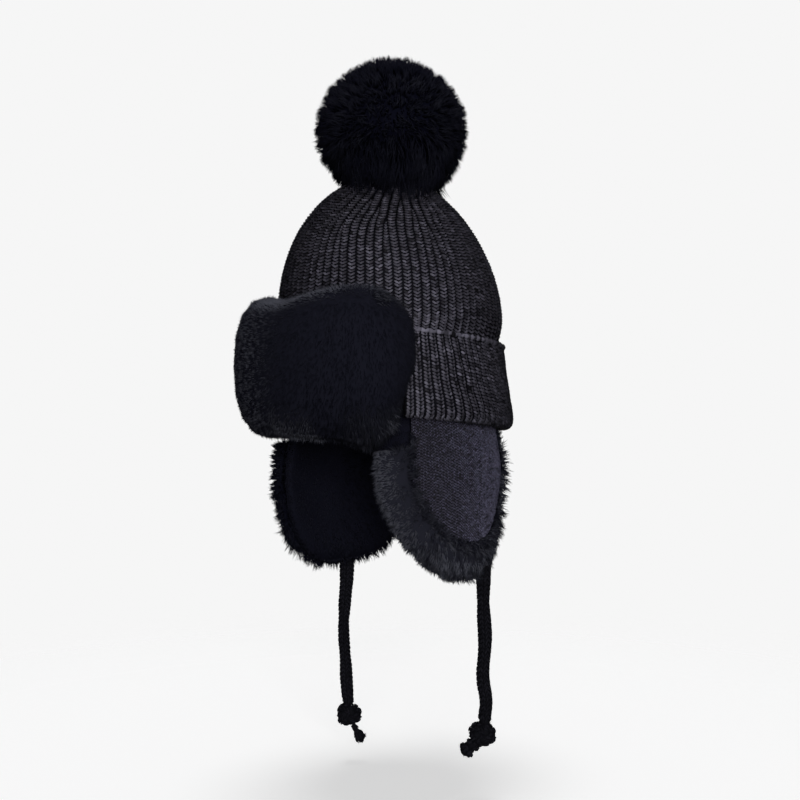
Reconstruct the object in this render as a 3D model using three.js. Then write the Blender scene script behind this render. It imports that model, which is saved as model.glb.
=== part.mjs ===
import * as THREE from 'three';

// A knit earflap beanie in the form it has on a head, in millimetres.
// The origin is the point inside the crown that rests on the top of the head.
// +Z is up, the brow faces -Y and the wearer's left side is +X.
// A turn is an angle round the head in degrees: 0 at the brow, +90 at the left ear.

// The widest outline of the crown, a plain ellipse, which every other piece is measured from.
const head = { halfWidth: 90, halfLength: 104.5 };

// How far the rim rises at the brow and falls at the nape, from its height at the ears.
const rimTilt = 9.2;

const crown = {
  wall: 4,
  domeHeight: 125,
  domeCentre: -121,
  domePower: 1.92,
  domeBrowPower: 0.21,
  rimHeight: -204.5,
  sides: 48,
  domeRows: 9,
  browDip: 14,
  browDipTurn: 44,
  browDipSlope: 2.2,
};
const crownSideRows = [
  { height: -138, offset: -3.4 },
  { height: -172, offset: -2.8 },
  { height: crown.rimHeight, offset: -1.5 },
];

const cuff = { bottom: -209.5, firstTurn: 55.5, steps: 42 };

// The cuff's section: rise above its bottom, and offset out from the widest outline.
const cuffSection = [
  { rise: 5.8, offset: -0.8 },
  { rise: 36, offset: -2.0 },
  { rise: 66, offset: -2.6 },
  { rise: 70, offset: -2.2 },
  { rise: 71, offset: -0.6 },
  { rise: 69.5, offset: 1.2 },
  { rise: 50, offset: 3.6 },
  { rise: 28, offset: 6.9 },
  { rise: 12, offset: 9.3 },
  { rise: 4, offset: 8.6 },
  { rise: 0, offset: 4.2 },
  { rise: 0.4, offset: -1.8 },
  { rise: 2.6, offset: -5.3 },
  { rise: 4.3, offset: -5.3 },
  { rise: 4.3, offset: -1.2 },
];

// The brow flap: its outline by turn, and how far its fur stands out of the crown. Its right side
// hangs a little lower than its left.
const browFlap = {
  innerOffset: 0.8,
  cuffClearOffset: 10.4,
  cuffClearTurn: 53.2,
  thinnest: 6,
  edgeRadius: 7,
  rootShare: 0.22,
  squareness: 0.85,
  steps: 34,
  innerSteps: 4,
  sectionSteps: 8,
};
const browFlapOutline = [
  { turn: -59, top: -143, bottom: -174, depth: 17 },
  { turn: -56, top: -130, bottom: -185, depth: 23 },
  { turn: -50, top: -117, bottom: -200, depth: 30 },
  { turn: -44, top: -109, bottom: -210, depth: 34 },
  { turn: -36, top: -105, bottom: -218, depth: 36 },
  { turn: -22, top: -105, bottom: -221, depth: 36 },
  { turn: 0, top: -110, bottom: -221, depth: 36 },
  { turn: 12, top: -104, bottom: -222, depth: 37 },
  { turn: 26, top: -99, bottom: -223, depth: 38 },
  { turn: 38, top: -98, bottom: -225, depth: 38 },
  { turn: 44, top: -101, bottom: -225, depth: 36 },
  { turn: 50, top: -108, bottom: -212, depth: 32 },
  { turn: 54, top: -115, bottom: -193, depth: 27 },
  { turn: 57.2, top: -125, bottom: -174, depth: 22 },
  { turn: 59.2, top: -136, bottom: -163, depth: 17 },
];

const pompom = { halfWidth: 65, halfHeight: 61.5, middle: 41.5, sides: 28, rows: 18, crownGap: 0.9 };

// Each ear flap hangs straight down inside the rim. Its panel and its fur have the same kind of
// outline: straight sides down to sideEnd, then a round bottom that reaches depth further.
const earPanel = {
  centre: 93, frontHalf: 33, backHalf: 39, sideEnd: -250, depth: 58, frontPower: 1.65, backPower: 2.3,
};
const earFur = {
  centre: 88, frontHalf: 46.5, backHalf: 51, sideEnd: -254, depth: 83, frontPower: 1.65, backPower: 3,
};
const earWall = { rise: 12, thickness: 3, steps: 18, rows: 9 };

// The panel's outer face, which bows out below the rim. Its lower back corner is tucked in.
const earFace = [
  { height: -186, offset: -7.7 },
  { height: -204, offset: -7.0 },
  { height: -214, offset: -6.3 },
  { height: -224, offset: -5.0 },
  { height: -236, offset: -3.0 },
  { height: -248, offset: -1.7 },
  { height: -262, offset: -1.4 },
  { height: -300, offset: -2.6 },
  { height: -345, offset: -5.0 },
];
const earTuck = { depth: 8, firstTurn: 92, lastTurn: 140, firstHeight: -240, lastHeight: -335 };
const earLining = {
  gap: 0.9,
  drop: 2,
  bevel: 1.5,
  edgeDepth: 7,
  depth: 17,
  topPuff: 0.12,
  steps: 20,
  rows: 9,
};
const earTrim = {
  lift: 0.35,
  top: 7.5,
  backTop: 4.5,
  frontStart: -228.5,
  backGap: 1.5,
  sideGap: 0.6,
  bottomGap: 1,
  curveSteps: 24,
};

// The points that each cord's middle line passes through, from the flap down to the knot.
const cord = { diameter: 10, sides: 10, steps: 12 };
const leftCordRoute = [
  [84.0, 24.6, -336.9],
  [84.0, 24.6, -346],
  [83.9, 24.5, -355],
  [84.0, 24.7, -364],
  [84.3, 25.1, -373],
  [84.7, 25.5, -382],
  [84.9, 25.6, -391],
  [84.6, 25.2, -400],
  [84.0, 24.6, -409],
  [83.7, 24.2, -418],
  [84.2, 24.7, -427],
  [85.3, 25.8, -436],
  [85.6, 26.1, -445],
  [84.8, 25.4, -452],
  [84.8, 25.4, -459.6],
];
const rightCordRoute = [
  [-84.0, 24.6, -336.9],
  [-84.0, 24.6, -347],
  [-84.2, 24.4, -357],
  [-84.7, 23.9, -367],
  [-85.3, 23.3, -377],
  [-85.6, 23.0, -387],
  [-85.7, 23.0, -397],
  [-85.3, 23.4, -407],
  [-84.4, 24.3, -417],
  [-83.4, 25.3, -427],
  [-82.7, 26.0, -437],
  [-82.4, 26.2, -447],
  [-82.5, 26.1, -456],
  [-82.8, 25.8, -465],
  [-82.8, 25.8, -473.6],
];
const knot = { halfWidth: 11.5, halfHeight: 10.5, squareness: 0.8, gap: 0.35, sides: 14, rows: 10 };
const tail = { sides: 10, gap: 1.2 };
const tailRows = [
  { down: 0, radius: 3.6 },
  { down: 0.35, radius: 4.4 },
  { down: 0.7, radius: 7 },
  { down: 1, radius: 5.5 },
];

const knitBlack = new THREE.MeshStandardMaterial({ color: 0x17181d, roughness: 0.95, metalness: 0 });
const fineKnitBlack = new THREE.MeshStandardMaterial({ color: 0x1b1d25, roughness: 0.95, metalness: 0 });
const furBlack = new THREE.MeshStandardMaterial({ color: 0x08080a, roughness: 0.85, metalness: 0 });
const cordBlack = new THREE.MeshStandardMaterial({ color: 0x101114, roughness: 0.95, metalness: 0 });

const beanie = new THREE.Group();

function addPiece(name, geometry, material) {
  const mesh = new THREE.Mesh(geometry, material);
  mesh.name = name;
  beanie.add(mesh);
}

// A point on the ellipse at a turn, scaled about the head's axis and then moved out by an offset.
function headPoint(turn, height, offset, scale = 1) {
  const angle = THREE.MathUtils.degToRad(turn);
  const across = head.halfWidth * scale + offset;
  const along = head.halfLength * scale + offset;
  return new THREE.Vector3(across * Math.sin(angle), -along * Math.cos(angle), height);
}

// How much higher the rim lies at a turn than it does at the ears.
function tiltAt(turn) {
  return rimTilt * Math.cos(THREE.MathUtils.degToRad(turn));
}

// Reads a table whose rows are sorted by one column, joining its rows by straight lines.
function readTable(table, column, at, wanted) {
  const rising = table[1][column] > table[0][column];
  let row = 1;
  while (row < table.length - 1 && (rising ? table[row][column] < at : table[row][column] > at)) {
    row += 1;
  }
  const before = table[row - 1];
  const after = table[row];
  const share = THREE.MathUtils.clamp((at - before[column]) / (after[column] - before[column]), 0, 1);
  return THREE.MathUtils.lerp(before[wanted], after[wanted], share);
}

// A closed body through rings of points. A ring of one point closes an end as a tip, and a longer
// ring at an end is closed by a flat face.
function bodyOfRings(rings) {
  const positions = [];
  const indices = [];
  const starts = rings.map((ring) => {
    const start = positions.length / 3;
    ring.forEach((point) => positions.push(point.x, point.y, point.z));
    return start;
  });
  const vertex = (ring, place) => starts[ring] + (place % rings[ring].length);
  for (let ring = 0; ring < rings.length - 1; ring += 1) {
    const count = Math.max(rings[ring].length, rings[ring + 1].length);
    for (let place = 0; place < count; place += 1) {
      if (rings[ring + 1].length > 1) {
        indices.push(vertex(ring, place), vertex(ring + 1, place), vertex(ring + 1, place + 1));
      }
      if (rings[ring].length > 1) {
        indices.push(vertex(ring, place), vertex(ring + 1, place + 1), vertex(ring, place + 1));
      }
    }
  }
  closeEnd(rings[0], starts[0], indices, false);
  closeEnd(rings[rings.length - 1], starts[rings.length - 1], indices, true);
  turnOutward(positions, indices);
  const geometry = new THREE.BufferGeometry();
  geometry.setAttribute('position', new THREE.Float32BufferAttribute(positions, 3));
  geometry.setIndex(indices);
  geometry.computeVertexNormals();
  return geometry;
}

// Covers a ring with triangles in the plane that it lies in.
function closeEnd(ring, start, indices, isLast) {
  if (ring.length < 3) {
    return;
  }
  const centre = new THREE.Vector3();
  ring.forEach((point) => centre.addScaledVector(point, 1 / ring.length));
  const normal = new THREE.Vector3();
  ring.forEach((point, place) => {
    const next = ring[(place + 1) % ring.length];
    normal.add(point.clone().sub(centre).cross(next.clone().sub(centre)));
  });
  normal.normalize();
  const first = ring[0].clone().sub(centre).projectOnPlane(normal).normalize();
  const second = normal.clone().cross(first);
  const flat = ring.map((point) => {
    const arm = point.clone().sub(centre);
    return new THREE.Vector2(arm.dot(first), arm.dot(second));
  });
  THREE.ShapeUtils.triangulateShape(flat, []).forEach(([a, b, c]) => {
    indices.push(start + a, start + (isLast ? c : b), start + (isLast ? b : c));
  });
}

// Turns every triangle over if the body's volume comes out negative.
function turnOutward(positions, indices) {
  const corner = (index) => new THREE.Vector3().fromArray(positions, index * 3);
  let volume = 0;
  for (let i = 0; i < indices.length; i += 3) {
    volume += corner(indices[i]).dot(corner(indices[i + 1]).cross(corner(indices[i + 2])));
  }
  if (volume < 0) {
    indices.reverse();
  }
}

function ringRound(sides, pointAt) {
  return Array.from({ length: sides }, (_, place) => pointAt((360 * place) / sides));
}

// The dome's roundness: it is fuller over the brow than at the back.
function domePowerAt(turn) {
  return crown.domePower + crown.domeBrowPower * Math.cos(THREE.MathUtils.degToRad(turn));
}

// The crown: one ring for each row, from the inside of its top down to the rim and up the outside.
function crownGeometry() {
  const dome = (inset) => Array.from({ length: crown.domeRows }, (_, row) => {
    const rise = Math.sin(THREE.MathUtils.degToRad((90 * row) / crown.domeRows));
    return ringRound(crown.sides, (turn) => {
      const power = domePowerAt(turn);
      const height = crown.domeCentre + (crown.domeHeight - inset) * rise;
      const scale = (1 - rise ** power) ** (1 / power);
      return headPoint(turn, height, -inset * scale, scale);
    });
  });
  const side = (inset) => crownSideRows.map((row, place) => ringRound(crown.sides, (turn) => {
    const nearRim = (place + 1) / crownSideRows.length;
    const height = row.height + tiltAt(turn) - browDipAt(turn) * nearRim;
    return headPoint(turn, height, row.offset - inset);
  }));
  const top = (inset) => [new THREE.Vector3(0, 0, crown.domeCentre + crown.domeHeight - inset)];
  return bodyOfRings([
    top(crown.wall),
    ...dome(crown.wall).reverse(),
    ...side(crown.wall),
    ...side(0).reverse(),
    ...dome(0),
    top(0),
  ]);
}

// Behind the brow flap the rim reaches lower, down to the flap's fold.
function browDipAt(turn) {
  const fromBrow = Math.abs(THREE.MathUtils.euclideanModulo(turn + 180, 360) - 180);
  const share = THREE.MathUtils.clamp(1 - fromBrow / crown.browDipTurn, 0, 1);
  return (crown.browDip + rimTilt) * Math.min(1, share * crown.browDipSlope);
}

// The cuff: its section carried round the sides and the back.
function cuffGeometry() {
  const sweep = 360 - 2 * cuff.firstTurn;
  const rings = Array.from({ length: cuff.steps + 1 }, (_, step) => {
    const turn = cuff.firstTurn + (sweep * step) / cuff.steps;
    return cuffSection.map((row) => headPoint(turn, cuff.bottom + row.rise + tiltAt(turn), row.offset));
  });
  return bodyOfRings(rings);
}

// The brow flap: upright D-shaped sections from one rounded end to the other.
function browFlapGeometry() {
  const lastTurn = browFlapOutline[browFlapOutline.length - 1].turn;
  const rings = Array.from({ length: browFlap.steps + 1 }, (_, step) => {
    const across = Math.sin((Math.PI / 2) * (-1 + (2 * step) / browFlap.steps));
    return browFlapSection(lastTurn * across);
  });
  return bodyOfRings(rings);
}

function browFlapSection(turn) {
  const read = (wanted) => readTable(browFlapOutline, 'turn', turn, wanted);
  const inner = Math.abs(turn) < browFlap.cuffClearTurn ? browFlap.innerOffset : browFlap.cuffClearOffset;
  const outer = Math.max(read('depth'), inner + browFlap.thinnest);
  const middle = (read('top') + read('bottom')) / 2;
  const half = (read('top') - read('bottom')) / 2;
  const innerHalf = half - browFlap.edgeRadius;
  const inside = Array.from({ length: browFlap.innerSteps + 1 }, (_, place) => {
    const height = middle - innerHalf + (2 * innerHalf * place) / browFlap.innerSteps;
    return headPoint(turn, height, inner);
  });
  const outside = Array.from({ length: browFlap.sectionSteps + 1 }, (_, place) => {
    const angle = THREE.MathUtils.degToRad(90 - (180 * place) / browFlap.sectionSteps);
    const reach = Math.abs(Math.cos(angle)) ** browFlap.squareness;
    const rise = Math.sign(Math.sin(angle)) * Math.abs(Math.sin(angle)) ** browFlap.squareness;
    const root = inner + (outer - inner) * browFlap.rootShare;
    return headPoint(turn, middle + half * rise, root + (outer - root) * reach);
  });
  return [...inside, ...outside];
}

// The pompom: a ball, a little flattened, and pressed up from below where it sits on the crown.
function pompomGeometry() {
  return bodyOfRings(lumpRings(pompom.sides, pompom.rows, (around, angle) => {
    const x = pompom.halfWidth * Math.sin(angle) * Math.cos(around);
    const y = pompom.halfWidth * Math.sin(angle) * Math.sin(around);
    const height = pompom.middle + pompom.halfHeight * Math.cos(angle);
    return new THREE.Vector3(x, y, Math.max(height, crownTopAt(x, y) + pompom.crownGap));
  }));
}

// Rings of a round lump from its lowest point to its highest, with one point at each.
function lumpRings(sides, rows, pointAt) {
  return Array.from({ length: rows + 1 }, (_, row) => {
    const angle = Math.PI * (1 - row / rows);
    const count = row === 0 || row === rows ? 1 : sides;
    return Array.from({ length: count }, (_unused, place) => pointAt((2 * Math.PI * place) / count, angle));
  });
}

function crownTopAt(x, y) {
  const reach = Math.min(Math.hypot(x / head.halfWidth, y / head.halfLength), 1);
  const power = domePowerAt(THREE.MathUtils.radToDeg(Math.atan2(x / head.halfWidth, -y / head.halfLength)));
  return crown.domeCentre + crown.domeHeight * (1 - reach ** power) ** (1 / power);
}

// The lowest height of an ear outline at a turn.
function earBottom(outline, turn) {
  const away = turn - outline.centre;
  const half = away < 0 ? outline.frontHalf : outline.backHalf;
  const power = away < 0 ? outline.frontPower : outline.backPower;
  const share = Math.min(Math.abs(away) / half, 1);
  return outline.sideEnd - outline.depth * (1 - share ** power) ** (1 / power);
}

// How far out the panel's outer face lies; the lower back corner of the flap is tucked in.
function faceOffset(turn, height) {
  const back = THREE.MathUtils.smoothstep(turn, earTuck.firstTurn, earTuck.lastTurn);
  const low = THREE.MathUtils.smoothstep(-height, -earTuck.firstHeight, -earTuck.lastHeight);
  return readTable(earFace, 'height', height, 'offset') - earTuck.depth * back * low;
}

// Turns across an ear outline, closer together near its two sides.
function earTurns(outline, steps) {
  return Array.from({ length: steps + 1 }, (_, step) => {
    const share = Math.sin((Math.PI / 2) * (-1 + (2 * step) / steps));
    return outline.centre + share * (share < 0 ? outline.frontHalf : outline.backHalf);
  });
}

// The knitted panel of an ear flap: a thin wall that hangs from inside the rim.
function earPanelGeometry(side) {
  const rings = earTurns(earPanel, earWall.steps).map((turn) => {
    const top = crown.rimHeight + tiltAt(turn) + earWall.rise;
    const bottom = earBottom(earPanel, turn);
    const column = (inset) => Array.from({ length: earWall.rows + 1 }, (_, row) => {
      const height = THREE.MathUtils.lerp(top, bottom, row / earWall.rows);
      return headPoint(side * turn, height, faceOffset(turn, height) - inset);
    });
    return [...column(0), ...column(earWall.thickness).reverse()];
  });
  return bodyOfRings(rings);
}

// The fur lining of an ear flap: a pad behind the panel, thinner along its edges.
function earLiningGeometry(side) {
  const behind = earWall.thickness + earLining.gap;
  const rings = earTurns(earFur, earLining.steps).map((turn) => {
    const top = crown.rimHeight + tiltAt(turn) + earWall.rise - earLining.drop;
    const bottom = earBottom(earFur, turn);
    const away = (turn - earFur.centre) / (turn < earFur.centre ? earFur.frontHalf : earFur.backHalf);
    const across = Math.sqrt(Math.max(1 - away * away, 0));
    const outer = Array.from({ length: earLining.rows + 1 }, (_, row) => {
      const height = THREE.MathUtils.lerp(top, bottom + earLining.bevel, row / earLining.rows);
      return headPoint(side * turn, height, faceOffset(turn, height) - behind);
    });
    const inner = Array.from({ length: earLining.rows + 1 }, (_, row) => {
      const down = 1 - row / earLining.rows;
      const height = THREE.MathUtils.lerp(top, bottom, down);
      const swell = Math.sin(Math.PI * THREE.MathUtils.lerp(earLining.topPuff, 1, down));
      const puff = across * Math.sqrt(Math.max(swell, 0));
      const depth = THREE.MathUtils.lerp(earLining.edgeDepth, earLining.depth, puff);
      return headPoint(side * turn, height, faceOffset(turn, height) - behind - depth);
    });
    return [...outer, ...inner];
  });
  return bodyOfRings(rings);
}

// A point of an ear outline's U: first down one side, round the bottom and up the other side.
function earEdge(outline, angle, backStart) {
  if (angle < 0) {
    return { turn: outline.centre - outline.frontHalf, height: earTrim.frontStart };
  }
  if (angle > 180) {
    return { turn: outline.centre + outline.backHalf, height: backStart };
  }
  const swing = -Math.cos(THREE.MathUtils.degToRad(angle));
  const turn = swing < 0
    ? outline.centre - outline.frontHalf * Math.abs(swing) ** (2 / outline.frontPower)
    : outline.centre + outline.backHalf * Math.abs(swing) ** (2 / outline.backPower);
  return { turn, height: earBottom(outline, turn) };
}

// The fur trim: a rounded roll between the panel's edge and the lining's edge.
function earTrimGeometry(side) {
  const section = [
    { across: 0, lift: 0 },
    { across: 0, lift: 0.55 },
    { across: 0.18, lift: 0.9 },
    { across: 0.5, lift: 1 },
    { across: 0.82, lift: 0.82 },
    { across: 1, lift: 0.4 },
    { across: 1, lift: 0 },
    { across: 0.5, lift: 0 },
  ];
  const backStart = cuff.bottom + tiltAt(earFur.centre + earFur.backHalf) - earTrim.backGap;
  const angles = [-1];
  for (let step = 0; step <= earTrim.curveSteps; step += 1) {
    angles.push((180 * step) / earTrim.curveSteps);
  }
  angles.push(181);
  const rings = angles.map((angle) => {
    const inside = earEdge(earPanel, angle, backStart);
    const outside = earEdge(earFur, angle, backStart);
    const swing = Math.cos(THREE.MathUtils.degToRad(THREE.MathUtils.clamp(angle, 0, 180)));
    const aside = -swing * earTrim.sideGap;
    const down = Math.sqrt(Math.max(1 - swing * swing, 0)) * earTrim.bottomGap;
    return section.map((row) => {
      const turn = THREE.MathUtils.lerp(inside.turn + aside, outside.turn, row.across);
      const height = THREE.MathUtils.lerp(inside.height - down, outside.height, row.across);
      const floor = faceOffset(turn, height) - earWall.thickness + earTrim.lift;
      const back = THREE.MathUtils.smoothstep(turn, earTuck.firstTurn, earTuck.lastTurn);
      const crest = faceOffset(turn, height) + THREE.MathUtils.lerp(earTrim.top, earTrim.backTop, back);
      return headPoint(side * turn, height, THREE.MathUtils.lerp(floor, crest, row.lift));
    });
  });
  return bodyOfRings(rings);
}

// A cord that follows its route, with a round section.
function cordGeometry(route) {
  const section = new THREE.Shape();
  for (let place = 0; place < cord.sides; place += 1) {
    const angle = (2 * Math.PI * place) / cord.sides;
    const x = (cord.diameter / 2) * Math.cos(angle);
    const y = (cord.diameter / 2) * Math.sin(angle);
    if (place === 0) {
      section.moveTo(x, y);
    } else {
      section.lineTo(x, y);
    }
  }
  section.closePath();
  const path = new THREE.CatmullRomCurve3(route.map((point) => new THREE.Vector3(...point)));
  return new THREE.ExtrudeGeometry(section, { steps: cord.steps, extrudePath: path, curveSegments: 1 });
}

// A knot's outer form: a lump that is flattened where the cord enters it.
function knotGeometry() {
  return bodyOfRings(lumpRings(knot.sides, knot.rows, (around, angle) => {
    const reach = knot.halfWidth * Math.max(Math.sin(angle), 0) ** knot.squareness;
    const height = knot.halfHeight * Math.cos(angle);
    return new THREE.Vector3(reach * Math.cos(around), reach * Math.sin(around), height);
  }));
}

// The frayed end below a knot: a neck that widens into a brush.
function tailGeometry(length) {
  return bodyOfRings(tailRows.map((row) => Array.from({ length: tail.sides }, (_, place) => {
    const around = (2 * Math.PI * place) / tail.sides;
    const height = -row.down * length;
    return new THREE.Vector3(row.radius * Math.cos(around), row.radius * Math.sin(around), height);
  })));
}

// Hangs a knot and its tail at the end of a cord; the knot lies aside by shift and the tail leans.
function addCordEnd(name, route, { shift, tailLength, lean }) {
  const end = new THREE.Vector3(...route[route.length - 1]);
  const centre = new THREE.Vector3(end.x + shift, end.y + shift, end.z - knot.gap - knot.halfHeight);
  addPiece(`tie_knot_${name}`, knotGeometry().translate(centre.x, centre.y, centre.z), cordBlack);
  const down = new THREE.Vector3(lean.x, lean.y, -1).normalize();
  const turned = new THREE.Quaternion().setFromUnitVectors(new THREE.Vector3(0, 0, -1), down);
  const start = centre.clone().addScaledVector(down, knot.halfHeight + tail.gap);
  const brush = tailGeometry(tailLength).applyQuaternion(turned).translate(start.x, start.y, start.z);
  addPiece(`tie_tail_${name}`, brush, cordBlack);
}

addPiece('crown', crownGeometry(), knitBlack);
addPiece('cuff', cuffGeometry(), knitBlack);
addPiece('front_flap', browFlapGeometry(), furBlack);
addPiece('pompom', pompomGeometry(), furBlack);
for (const { name, side } of [{ name: 'left', side: 1 }, { name: 'right', side: -1 }]) {
  addPiece(`ear_flap_shell_${name}`, earPanelGeometry(side), fineKnitBlack);
  addPiece(`ear_flap_lining_${name}`, earLiningGeometry(side), furBlack);
  addPiece(`ear_flap_trim_${name}`, earTrimGeometry(side), furBlack);
}
addPiece('tie_left', cordGeometry(leftCordRoute), cordBlack);
addPiece('tie_right', cordGeometry(rightCordRoute), cordBlack);
addCordEnd('left', leftCordRoute, { shift: -1.8, tailLength: 9, lean: { x: -0.55, y: -0.55 } });
addCordEnd('right', rightCordRoute, { shift: 0, tailLength: 16, lean: { x: 0.4, y: 0.4 } });

export default beanie;
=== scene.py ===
import math
import bpy
import bmesh
import numpy as np
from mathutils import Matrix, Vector
from mathutils.kdtree import KDTree


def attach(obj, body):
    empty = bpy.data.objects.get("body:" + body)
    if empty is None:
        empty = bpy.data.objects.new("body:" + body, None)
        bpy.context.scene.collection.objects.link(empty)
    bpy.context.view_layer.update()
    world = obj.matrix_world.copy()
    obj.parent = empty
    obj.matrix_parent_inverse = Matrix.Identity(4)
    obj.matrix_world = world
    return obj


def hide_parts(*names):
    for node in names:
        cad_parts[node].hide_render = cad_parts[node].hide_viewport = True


# A knit earflap beanie, worn form. Tables and sizes are in millimetres unless a comment says otherwise.
# A turn is an angle round the head in degrees: 0 at the brow, +90 at the wearer's left ear.
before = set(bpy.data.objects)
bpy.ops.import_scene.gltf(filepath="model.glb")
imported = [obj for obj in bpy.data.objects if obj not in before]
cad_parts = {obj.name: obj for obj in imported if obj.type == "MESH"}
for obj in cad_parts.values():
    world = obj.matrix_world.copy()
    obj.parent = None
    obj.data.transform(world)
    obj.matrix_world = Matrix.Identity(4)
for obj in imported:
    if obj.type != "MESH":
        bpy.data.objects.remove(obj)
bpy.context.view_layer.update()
mm = 0.001
dice = np.random.default_rng(41)


def addObject(name, data):
    made = bpy.data.objects.new(name, data)
    bpy.context.scene.collection.objects.link(made)
    return made


# Camera, level with the middle of the hat and looking from its front left. Metres and degrees.
photoView = {"azimuth": 45, "distance": 1.05, "height": -0.190, "aside": 0.0074, "lens": 54.5}


def placeCamera():
    angle = math.radians(photoView["azimuth"])
    towards = np.array([math.sin(angle), -math.cos(angle)])
    right = np.array([math.cos(angle), math.sin(angle)])
    spot = towards * photoView["distance"] + right * photoView["aside"]
    camera = addObject("photo_camera", bpy.data.cameras.new("photo_camera"))
    camera.data.lens = photoView["lens"]
    camera.location = (spot[0], spot[1], photoView["height"])
    camera.rotation_euler = (math.pi / 2, 0, angle)
    bpy.context.scene.camera = camera


placeCamera()
print("camera placed")


# Small helpers for vectors held as rows of an array.
def unit(rows):
    return rows / np.maximum(np.linalg.norm(rows, axis=-1, keepdims=True), 1e-9)


def smoothstep(low, high, value):
    share = np.clip((value - low) / (high - low), 0, 1)
    return share * share * (3 - 2 * share)


def lerp(start, end, share):
    return start + (end - start) * share


def eased(at, places, values):
    # Reads a table with a level step at each of its rows.
    row = np.clip(np.searchsorted(places, at) - 1, 0, len(places) - 2)
    places, values = np.asarray(places, float), np.asarray(values, float)
    return lerp(values[row], values[row + 1], smoothstep(places[row], places[row + 1], at))


def columns(table, *names):
    return [np.array([row[name] for row in table], float) for name in names]


def splineThrough(points, count, closed=False):
    # Evenly spaced points on a smooth curve through the given ones.
    points = np.asarray(points, float)
    if closed:
        around = np.concatenate([points[-1:], points, points[:2]])
    else:
        around = np.concatenate([2 * points[:1] - points[1:2], points, 2 * points[-1:] - points[-2:-1]])
    fine = []
    for place in range(len(around) - 3):
        p0, p1, p2, p3 = around[place:place + 4]
        t = np.linspace(0, 1, 16, endpoint=False)[:, None]
        fine.append(0.5 * (2 * p1 + (p2 - p0) * t + (2 * p0 - 5 * p1 + 4 * p2 - p3) * t ** 2
                           + (3 * p1 - p0 - 3 * p2 + p3) * t ** 3))
    fine.append(around[-2:-1])
    fine = np.concatenate(fine)
    along = np.concatenate([[0], np.cumsum(np.linalg.norm(np.diff(fine, axis=0), axis=1))])
    at = np.linspace(0, along[-1], count + 1)[:-1] if closed else np.linspace(0, along[-1], count)
    return np.stack([np.interp(at, along, fine[:, k]) for k in range(fine.shape[1])], axis=1)


# Pieces: a mesh wrapped from a grid, a copy of a node's solid, or many small shapes joined from arrays.
def addPiece(name, mesh, material, replaced):
    # replaced lists the CAD nodes that the piece stands in for. Extra pieces stand in for none.
    piece = addObject(name, mesh)
    mesh.materials.append(material)
    mesh.shade_smooth()
    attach(piece, "root")
    if replaced:
        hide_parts(*replaced)
    return piece


def setTone(mesh, tone):
    attribute = mesh.attributes.new("tone", "FLOAT", "POINT")
    attribute.data.foreach_set("value", np.asarray(tone, np.float32))


def wrapGrid(name, across, along, placeAt, capEnds=False):
    # Wraps a flat grid into a closed wall. placeAt turns its two coordinates, 0 to 1, into points.
    bm = bmesh.new()
    bmesh.ops.create_grid(bm, x_segments=across, y_segments=along, size=0.5)
    mesh = bpy.data.meshes.new(name)
    bm.to_mesh(mesh)
    bm.free()
    flat = np.zeros(len(mesh.vertices) * 3, np.float32)
    mesh.vertices.foreach_get("co", flat)
    flat = flat.reshape(-1, 3).astype(float) + 0.5
    mesh.vertices.foreach_set("co", (placeAt(flat[:, 0], flat[:, 1]) * mm).astype(np.float32).ravel())
    bm = bmesh.new()
    bm.from_mesh(mesh)
    bmesh.ops.remove_doubles(bm, verts=bm.verts, dist=2e-6)
    if capEnds:
        bmesh.ops.holes_fill(bm, edges=bm.edges, sides=0)
    bmesh.ops.recalc_face_normals(bm, faces=bm.faces)
    bm.to_mesh(mesh)
    bm.free()
    return mesh


def mergedCopy(node, shrink=0.0):
    # A node's solid as one joined mesh, moved in along its normals by shrink.
    bm = bmesh.new()
    bm.from_mesh(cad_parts[node].data)
    bmesh.ops.remove_doubles(bm, verts=bm.verts, dist=0.01 * mm)
    bm.normal_update()
    for vert in bm.verts:
        vert.co -= vert.normal * shrink * mm
    mesh = bpy.data.meshes.new("copy")
    bm.to_mesh(mesh)
    bm.free()
    return mesh


def asArrays(mesh):
    # A mesh's points in millimetres, their normals, and its triangles.
    points = np.zeros(len(mesh.vertices) * 3, np.float32)
    normals = np.zeros(len(mesh.vertices) * 3, np.float32)
    mesh.vertices.foreach_get("co", points)
    mesh.vertex_normals.foreach_get("vector", normals)
    mesh.calc_loop_triangles()
    triangles = np.zeros(len(mesh.loop_triangles) * 3, np.int32)
    mesh.loop_triangles.foreach_get("vertices", triangles)
    return points.reshape(-1, 3) / mm, normals.reshape(-1, 3).astype(float), triangles.reshape(-1, 3)


def joinArrays(parts):
    # Several (points, triangles, tone) as one.
    starts = np.cumsum([0] + [len(part[0]) for part in parts[:-1]])
    return (np.concatenate([part[0] for part in parts]),
            np.concatenate([part[1] + start for part, start in zip(parts, starts)]),
            np.concatenate([part[2] for part in parts]))


def meshFromArrays(name, points, triangles, tone):
    mesh = bpy.data.meshes.new(name)
    mesh.vertices.add(len(points))
    mesh.vertices.foreach_set("co", (points * mm).astype(np.float32).ravel())
    mesh.loops.add(triangles.size)
    mesh.loops.foreach_set("vertex_index", triangles.astype(np.int32).ravel())
    mesh.polygons.add(len(triangles))
    mesh.polygons.foreach_set("loop_start", np.arange(0, triangles.size, 3, dtype=np.int32))
    mesh.update(calc_edges=True)
    setTone(mesh, tone)
    return mesh


# Shares of a bit of yarn's length, width and thickness.
seed = {"shoulder": 0.24, "plump": 0.625, "rootDip": -0.1}


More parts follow.
